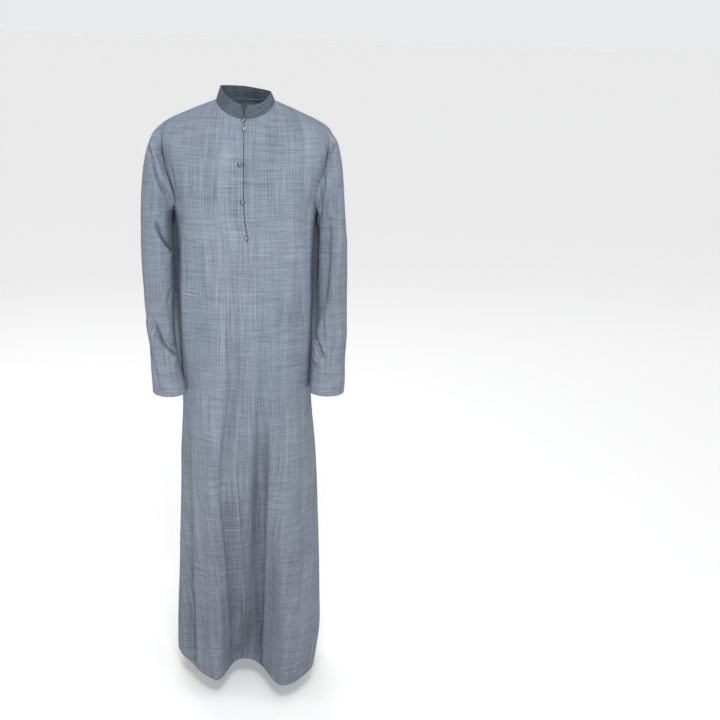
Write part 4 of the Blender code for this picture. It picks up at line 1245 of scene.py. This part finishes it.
class Nodes:
    """Builds a material's nodes, with links made as they are added."""

    def __init__(self, name):
        self.material = bpy.data.materials.new(name)
        self.material.use_nodes = True
        self.tree = self.material.node_tree
        self.shader = self.tree.nodes["Principled BSDF"].inputs

    def along_cloth(self):
        """Reads the distances across and down the cloth, which the patterns follow."""
        uv = self.tree.nodes.new("ShaderNodeUVMap")
        uv.uv_map = "cloth"
        split = self.tree.nodes.new("ShaderNodeSeparateXYZ")
        self.put(split.inputs[0], uv.outputs["UV"])
        self.across, self.down, _ = split.outputs
        return self

    def put(self, socket, value):
        """Sets a socket to a number or a colour, or joins another socket to it."""
        if isinstance(value, tuple):
            socket.default_value = (*value, 1.0)
        elif isinstance(value, (int, float)):
            socket.default_value = value
        else:
            self.tree.links.new(value, socket)

    def math(self, operation, *values):
        """Adds a math node."""
        node = self.tree.nodes.new("ShaderNodeMath")
        node.operation = operation
        for socket, value in zip(node.inputs, values):
            self.put(socket, value)
        return node.outputs[0]

    def add(self, total, *parts):
        """Adds patterns to a total, each with its strength."""
        for pattern, strength in parts:
            total = self.math("MULTIPLY_ADD", pattern, strength, total)
        return total

    def noise(self, across, down, detail, shift, rough=0.5):
        """Adds noise with so many bumps to a metre each way. It averages a half."""
        place = self.tree.nodes.new("ShaderNodeCombineXYZ")
        self.put(place.inputs[0], self.math("MULTIPLY", self.across, across))
        self.put(place.inputs[1], self.math("MULTIPLY", self.down, down))
        self.put(place.inputs[2], shift)
        node = self.tree.nodes.new("ShaderNodeTexNoise")
        self.put(node.inputs["Vector"], place.outputs[0])
        self.put(node.inputs["Scale"], 1.0)
        self.put(node.inputs["Detail"], detail)
        self.put(node.inputs["Roughness"], rough)
        return node.outputs["Fac"]

    def spread(self, value, *ends):
        """Maps one range of a value to another: from, to, and the new values there."""
        return map_range(self.tree, value, ends)

    def pattern(self, across, down, detail, shift, *ends):
        """Gives noise spread between two values."""
        return self.spread(self.noise(across, down, detail, shift), *ends)

    def blend(self, factor, first, second, kind="MIX"):
        """Mixes two colours."""
        node = self.tree.nodes.new("ShaderNodeMix")
        node.data_type = "RGBA"
        node.blend_type = kind
        for name, value in (("Factor", factor), ("A", first), ("B", second)):
            self.put(node.inputs[name], value)
        return node.outputs["Result"]

    def shade(self, **values):
        """Sets the shader's own sockets. Their names have underscores for spaces."""
        for name, value in values.items():
            self.put(self.shader[name.replace("_", " ")], value)

    def bump(self, height, strength, distance):
        """Roughens the surface by a height."""
        node = self.tree.nodes.new("ShaderNodeBump")
        self.put(node.inputs["Strength"], strength)
        self.put(node.inputs["Distance"], distance)
        self.put(node.inputs["Height"], height)
        self.put(self.shader["Normal"], node.outputs["Normal"])


def map_range(tree, value, ends):
    """Adds a smooth map from one range of a value to another."""
    node = tree.nodes.new("ShaderNodeMapRange")
    node.interpolation_type = "SMOOTHSTEP"
    tree.links.new(value, node.inputs["Value"])
    for name, number in zip(("From Min", "From Max", "To Min", "To Max"), ends):
        node.inputs[name].default_value = number
    return node.outputs["Result"]


# Each pattern of the cloth: bumps to a metre across and down, detail, shift, and the noise's range
# with the values given to its ends.
PATTERNS = {
    "lean": (9.0, 7.0, 2.0, 41.0, 0.34, 0.66, 0.0, 1.0),
    "fine_warp": (500.0, 7.0, 2.0, 8.7, 0.30, 0.70, -1.0, 1.0),
    "fine_weft": (13.0, 520.0, 2.0, 1.3, 0.30, 0.70, -1.0, 1.0),
    "warp_slubs": (290.0, 8.0, 1.0, 3.9, 0.52, 0.76, 0.0, 1.0),
    "weft_slubs": (15.0, 290.0, 1.0, 5.1, 0.53, 0.77, 0.0, 1.0),
    "dark_warp": (320.0, 9.0, 1.0, 14.2, 0.55, 0.78, 0.0, 1.0),
    "dark_weft": (18.0, 320.0, 1.0, 17.7, 0.55, 0.78, 0.0, 1.0),
    "bands": (26.0, 1.6, 2.0, 21.0, 0.30, 0.70, -1.0, 1.0),
    "patches": (7.0, 5.0, 3.0, 11.0, 0.30, 0.70, -1.0, 1.0),
    "specks": (700.0, 700.0, 1.0, 26.0, 0.30, 0.70, -1.0, 1.0),
    "hue": (9.0, 3.0, 2.0, 31.0, 0.30, 0.70, 0.0, 1.0),
}
# How far each pattern makes the cloth paler or darker: the yarns each way, with how they gain where
# they lean that way, and the clouds. HEIGHTS are how far they stand up.
YARNS = (
    ({"fine_warp": 0.13, "warp_slubs": 0.22, "dark_warp": -0.17}, 0.5),
    ({"fine_weft": 0.13, "weft_slubs": 0.21, "dark_weft": -0.17}, -0.5),
)
CLOUDS = {"bands": 0.05, "patches": 0.07, "specks": 0.07}
HEIGHTS = {"fine_warp": 0.22, "fine_weft": 0.26, "warp_slubs": 0.5, "weft_slubs": 0.6}
WEAVE_TONE = 0.06
WEAVE_HEIGHT = 0.25
THREADS = 6400.0  # turns of the plain weave's wave, in radians to a metre
HUES = ((0.975, 1.0, 1.0), (1.015, 0.995, 1.005))  # what the cloth's colour is multiplied by
LOWER_TINT = (1.02, 0.94, 0.89)  # the cloth is half this far browner at the hem
LOWER_RANGE = (0.2, 1.0)  # metres below the underarm between which it turns so
SHEEN_TINT = (0.84, 0.90, 1.0)
FLOOR_GREY = (0.86, 0.86, 0.86)
GLOW = (0.3, 5.0, 0.28, 0.52)  # the floor's glow: from, to (metres), and its strength at each


def bare_colour(red, green, blue):
    """Turns screen values from 0 to 255 into the colour a material takes."""
    return tuple(((value / 255 + 0.055) / 1.055) ** 2.4 for value in (red, green, blue))


def cloth_material(name, dark, light, slubs=1.0):
    """Makes the melange weave: pale and dark yarns both ways, with slubs, over a plain weave."""
    made = Nodes(name).along_cloth()
    seen = {pattern: made.pattern(*row) for pattern, row in PATTERNS.items()}

    def mixed(total, strengths, times=1.0):
        """Adds patterns to a total, each with its strength."""
        return made.add(total, *[(seen[key], part * times) for key, part in strengths.items()])

    total = 0.5
    for tones, lean in YARNS:
        more = made.math("MULTIPLY_ADD", seen["lean"], lean, 1 - lean / 2)
        total = made.add(total, (made.math("MULTIPLY", mixed(0.0, tones), more), slubs))
    turns = [made.math("MULTIPLY", way, THREADS) for way in (made.across, made.down)]
    weave = made.math("MULTIPLY", *[made.math("SINE", turn) for turn in turns])
    total = made.add(mixed(total, CLOUDS, slubs), (weave, WEAVE_TONE))
    lower = made.spread(made.down, *LOWER_RANGE, 0.0, 0.5)
    tint = made.blend(lower, made.blend(seen["hue"], *HUES), LOWER_TINT)
    made.shade(
        Base_Color=made.blend(1.0, made.blend(total, dark, light), tint, "MULTIPLY"),
        Roughness=made.spread(total, 0.1, 0.9, 0.95, 0.78),
        Specular_IOR_Level=0.20,
        Sheen_Weight=0.05,
        Sheen_Roughness=0.5,
        Sheen_Tint=SHEEN_TINT,
    )
    made.bump(mixed(made.math("MULTIPLY", weave, WEAVE_HEIGHT), HEIGHTS), 0.30, 0.0004)
    return made.material


def thread_material(name, colour):
    """Makes sewing thread: twisted, with a slight gloss."""
    made = Nodes(name).along_cloth()
    slant = made.math("MULTIPLY_ADD", made.across, 9000.0, made.math("MULTIPLY", made.down, 7000.0))
    tone = made.add(made.noise(60.0, 60.0, 2.0, 2.0), (made.math("SINE", slant), 0.12))
    made.shade(
        Base_Color=made.blend(tone, tuple(value * 0.72 for value in colour), colour),
        Roughness=made.spread(tone, 0.2, 0.8, 0.45, 0.62),
        Sheen_Weight=0.2,
    )
    return made.material


def pearl_material():
    """Makes the buttons' silvery grey pearl: cloudy bands under a clear gloss."""
    made = Nodes("button_pearl").along_cloth()
    bands = made.noise(240.0, 420.0, 4.0, 4.4, 0.6)
    clouds = made.noise(150.0, 150.0, 3.0, 9.2)
    mixed = made.add(made.math("MULTIPLY", clouds, 0.4), (bands, 0.6))
    tone = made.spread(mixed, 0.34, 0.66, 0.0, 1.0)
    grey = made.blend(tone, bare_colour(54, 64, 80), bare_colour(150, 160, 176))
    violet = made.spread(clouds, 0.4, 0.62, 0.0, 0.30)
    made.shade(
        Base_Color=made.blend(violet, grey, bare_colour(140, 146, 174)),
        Roughness=made.spread(bands, 0.3, 0.7, 0.22, 0.36),
        Metallic=0.40,
        Specular_IOR_Level=0.7,
        Coat_Weight=0.5,
        Coat_Roughness=0.08,
    )
    made.bump(mixed, 0.08, 0.0002)
    return made.material


def floor_material():
    """Makes the pale floor, which glows as painted light, more strongly away from the robe."""
    made = Nodes("floor")
    spot = made.tree.nodes.new("ShaderNodeTexCoord")
    reach = made.tree.nodes.new("ShaderNodeVectorMath")
    reach.operation = "LENGTH"
    made.put(reach.inputs[0], spot.outputs["Object"])
    made.shade(
        Base_Color=FLOOR_GREY,
        Roughness=0.9,
        # Painted light: the floor glows, weakly by the robe and more strongly away from it.
        Emission_Color=(1.0, 1.0, 1.0),
        Emission_Strength=made.spread(reach.outputs["Value"], *GLOW),
    )
    return made.material


# ---- the robe


def dress(made, node):
    """Lets a piece ride on the robe, in place of a CAD node if it has one."""
    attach(made, "root")
    if node:
        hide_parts(node)
    return made


def cloth_piece(node, sheet, walls, material, faces=None):
    """Makes the cloth that takes the place of one CAD node."""
    return dress(make_cloth(f"{node}_cloth", sheet, walls, material, faces), node)


def sewn(sheet, distance, at, skip, lift, down=False):
    """Gives the line over a sheet where a distance has one value, lifted off it, and its normals.

    The line runs across the sheet, or down it, and skips so many columns or rows at either end.
    """
    grid = np.concatenate([sheet.points, sheet.normals], axis=-1)
    if down:
        grid = grid.transpose(1, 0, 2)
        distance = distance.T
    line = []
    for column in range(skip[0], distance.shape[1] - skip[1]):
        order = np.argsort(distance[:, column])
        spot = distance[order, column]
        line.append([np.interp(at, spot, grid[order, column, axis]) for axis in range(6)])
    line = np.array(line)
    normals = unit(line[:, 3:])
    return line[:, :3] + normals * lift, normals


cloth = cloth_material("cloth", bare_colour(90, 98, 112), bare_colour(154, 165, 180))
# The collar is the body's own cloth in darker colours: painted shade on the collar band.
collar_cloth = cloth_material(
    "collar_cloth", bare_colour(44, 52, 62), bare_colour(108, 119, 130), slubs=1.1
)
thread = thread_material("thread", bare_colour(118, 128, 144))
dark_thread = thread_material("dark_thread", bare_colour(70, 78, 92))
pearl = pearl_material()

# How far the rows of stitches lie from the strips' edges and from the neck's seam, and below the
# end of a hem's turned cloth.
INNER_STITCH = 0.0048
EDGE_STITCH = 0.0022
FOOT_STITCH = 0.0035
SEAM_STITCH = 0.0034
BELOW_FOLD = 0.0006
STITCH_LIFT = 0.0001  # how far they lie over the cloth, and how far below a strip's full thickness
SUNK = 0.0003
INNER_SUNK = 0.0005

back_keys = column_keys(BODY_COLUMNS)
opening = int(np.argmin(np.abs(back_keys - OPENING_X)))
front_keys = back_keys.copy()
front_keys[opening] = OPENING_X
front_keys = np.insert(front_keys, opening + 1, OPENING_X)
front = body_sheet(FRONT, front_keys)
slit_rows = int((front.points[:, opening, 2] > SLIT_END).sum())
for column, side in ((opening, -1), (opening + 1, 1)):
    slit = front.points[:slit_rows, column]
    slit[:, 0] += side * slit_half(slit[:, 2])
back = body_sheet(BACK, back_keys)

faces = slit_faces(*front.points.shape[:2], opening, slit_rows)
walls = turned_walls(front, front.points[..., 2] - HEM, HEM_DEEP)
front_piece = cloth_piece("front", front, walls, cloth, faces=faces)
walls = turned_walls(back, back.points[..., 2] - HEM, HEM_DEEP)
back_piece = cloth_piece("back", back, walls, cloth)

plain = [
    body_points(panel, keys, DOWN, LOWER[:1])
    for panel, keys in ((FRONT, front_keys), (BACK, back_keys))
]
right = sleeve_sheet(-1, *plain, RIGHT_FRONT_CREASES, RIGHT_BACK_CREASES)
left = sleeve_sheet(1, *plain, LEFT_FRONT_CREASES, LEFT_BACK_CREASES)
walls = turned_walls(right, right.from_foot, CUFF_DEEP)
right_piece = cloth_piece("sleeve_right", right, walls, cloth)
walls = turned_walls(left, left.from_foot, CUFF_DEEP)
left_piece = cloth_piece("sleeve_left", left, walls, cloth)

collar = collar_sheet()
walls = collar_walls(collar)
collar_piece = cloth_piece("collar", collar, walls, collar_cloth)

over = strip_sheet(OPENING_X - OVER_WIDE + np.array(OVER_KEYS), -1)
under = strip_sheet(OPENING_X + np.array(UNDER_KEYS), 1)
stitched = (
    over.from_first - INNER_STITCH,
    over.from_last - EDGE_STITCH,
    over.from_foot - FOOT_STITCH,
)
walls = strip_walls(over, OVER_THICK, over.from_last, over.from_first, stitched)
over_piece = cloth_piece("placket_over", over, walls, cloth)
stitched = (under.from_last - EDGE_STITCH, under.from_foot - FOOT_STITCH)
walls = strip_walls(under, UNDER_THICK, under.from_side, under.from_foot, stitched)
under_piece = cloth_piece("placket_under", under, walls, cloth)

for number, button in enumerate(BUTTONS, start=1):
    row = int(np.argmin(np.abs(over.points[:, -1, 2] - button.height)))
    spot = np.interp(OVER_WIDE - button.aside, over.from_first[row], np.arange(len(OVER_KEYS)))
    column = int(round(float(spot)))
    direction = over.normals[row, column]
    place = over.points[row, column] + direction * (2 * LIFT + OVER_THICK)
    made = turned_button(f"pearl_button_{number}", place, direction, button, pearl)
    dress(made, f"button_{number}")
    made = cord_loop(f"button_loop_{number}", place, direction, button.aside, dark_thread)
    dress(made, None)

rows = []
for sheet in (front, back):
    height = sheet.points[..., 2] - HEM
    rows.append(sewn(sheet, height, HEM_DEEP - BELOW_FOLD, (3, 3), STITCH_LIFT))
for sheet in (right, left):
    rows.append(sewn(sheet, sheet.from_foot, CUFF_DEEP - BELOW_FOLD, (2, 2), STITCH_LIFT))
rows.append(sewn(collar, collar.from_foot, COLLAR_STITCH, (7, 7), STITCH_LIFT))
rows.append(sewn(collar, collar.from_top, SEAM_STITCH, (7, 7), STITCH_LIFT))
for sheet, distance, at, lift in (
    (over, over.from_first, INNER_STITCH, LIFT + OVER_THICK - INNER_SUNK),
    (over, over.from_last, EDGE_STITCH, LIFT + OVER_THICK - SUNK),
    (under, under.from_last, EDGE_STITCH, LIFT + UNDER_THICK - SUNK),
):
    rows.append(sewn(sheet, distance, at, (3, 4), lift, down=True))
dress(sew_rows("stitches", rows, thread), None)


# ---- floor, light and camera

FLOOR = -1.56
FLOOR_REACH = 300
SKY = (0.03, 0.18, 0.84, 0.08)  # the sky's strength: from, to (rise), and its strength at each
SKY_COLOUR = (0.97, 0.98, 1.0, 1.0)

disc = bpy.data.meshes.new("floor")
turns = [radians(degree) for degree in range(0, 360, 5)]
ends = [(FLOOR_REACH * cos(turn), FLOOR_REACH * sin(turn), FLOOR) for turn in turns]
disc.from_pydata(ends, [], [tuple(range(len(ends)))])
disc.materials.append(floor_material())
floor = add_object("floor", disc)

world = bpy.data.worlds.new("studio")
bpy.context.scene.world = world
world.use_nodes = True
sky = world.node_tree
heading = sky.nodes.new("ShaderNodeTexCoord")
split = sky.nodes.new("ShaderNodeSeparateXYZ")
light = sky.nodes["Background"].inputs
light["Color"].default_value = SKY_COLOUR
sky.links.new(heading.outputs["Generated"], split.inputs[0])
sky.links.new(map_range(sky, split.outputs[2], SKY), light["Strength"])

overhead = bpy.data.lights.new("overhead", "SUN")
overhead.energy = 0.85
overhead.angle = radians(50)
add_object("overhead", overhead).rotation_euler = (radians(8), radians(6), 0)


def softbox(name, place, target, size, power, colour=(1.0, 1.0, 1.0), spread=180):
    """Adds one large soft lamp."""
    lamp = bpy.data.lights.new(name, "AREA")
    lamp.shape = "RECTANGLE"
    lamp.size, lamp.size_y = size
    lamp.energy = power
    lamp.spread = radians(spread)
    lamp.color = colour
    made = add_object(name, lamp)
    made.location = place
    made.rotation_euler = (Vector(target) - Vector(place)).to_track_quat("-Z", "Y").to_euler()


COOL = (0.97, 0.985, 1.0)
softbox("key", (0.10, -2.00, 1.00), (0, 0, -0.30), (0.6, 0.6), 34.5, (1.0, 1.0, 0.99))
softbox("low", (-0.55, -1.90, -0.40), (-0.14, -0.10, -0.68), (0.5, 0.5), 0.45, spread=45)
softbox("left", (-2.3, -0.7, 0.9), (0, 0, -0.2), (0.8, 1.2), 9, COOL)
softbox("right", (2.3, -0.7, 0.7), (0, 0, -0.5), (0.8, 1.2), 9, COOL)
softbox("rear", (-0.6, 2.4, 1.6), (0, 0, -0.5), (1.8, 1.4), 44)

bpy.context.scene.view_settings.view_transform = "Standard"

# The camera was fitted to the photo's outline.
EYE = (0, -2.8, 0.16)
PITCH = radians(16.43)
YAW = radians(5.894)
level = Vector((1, 0, 0))
straight = Vector((0, cos(PITCH), -sin(PITCH)))
up = Vector((0, sin(PITCH), cos(PITCH)))
ahead = straight * cos(YAW) + level * sin(YAW)
aside = level * cos(YAW) - straight * sin(YAW)
lens = bpy.data.cameras.new("camera")
lens.sensor_width = 36
lens.lens = 55.4
camera = add_object("camera", lens)
turn = Matrix((aside, up, -ahead)).transposed().to_4x4()
camera.matrix_world = Matrix.Translation(EYE) @ turn
bpy.context.scene.camera = camera
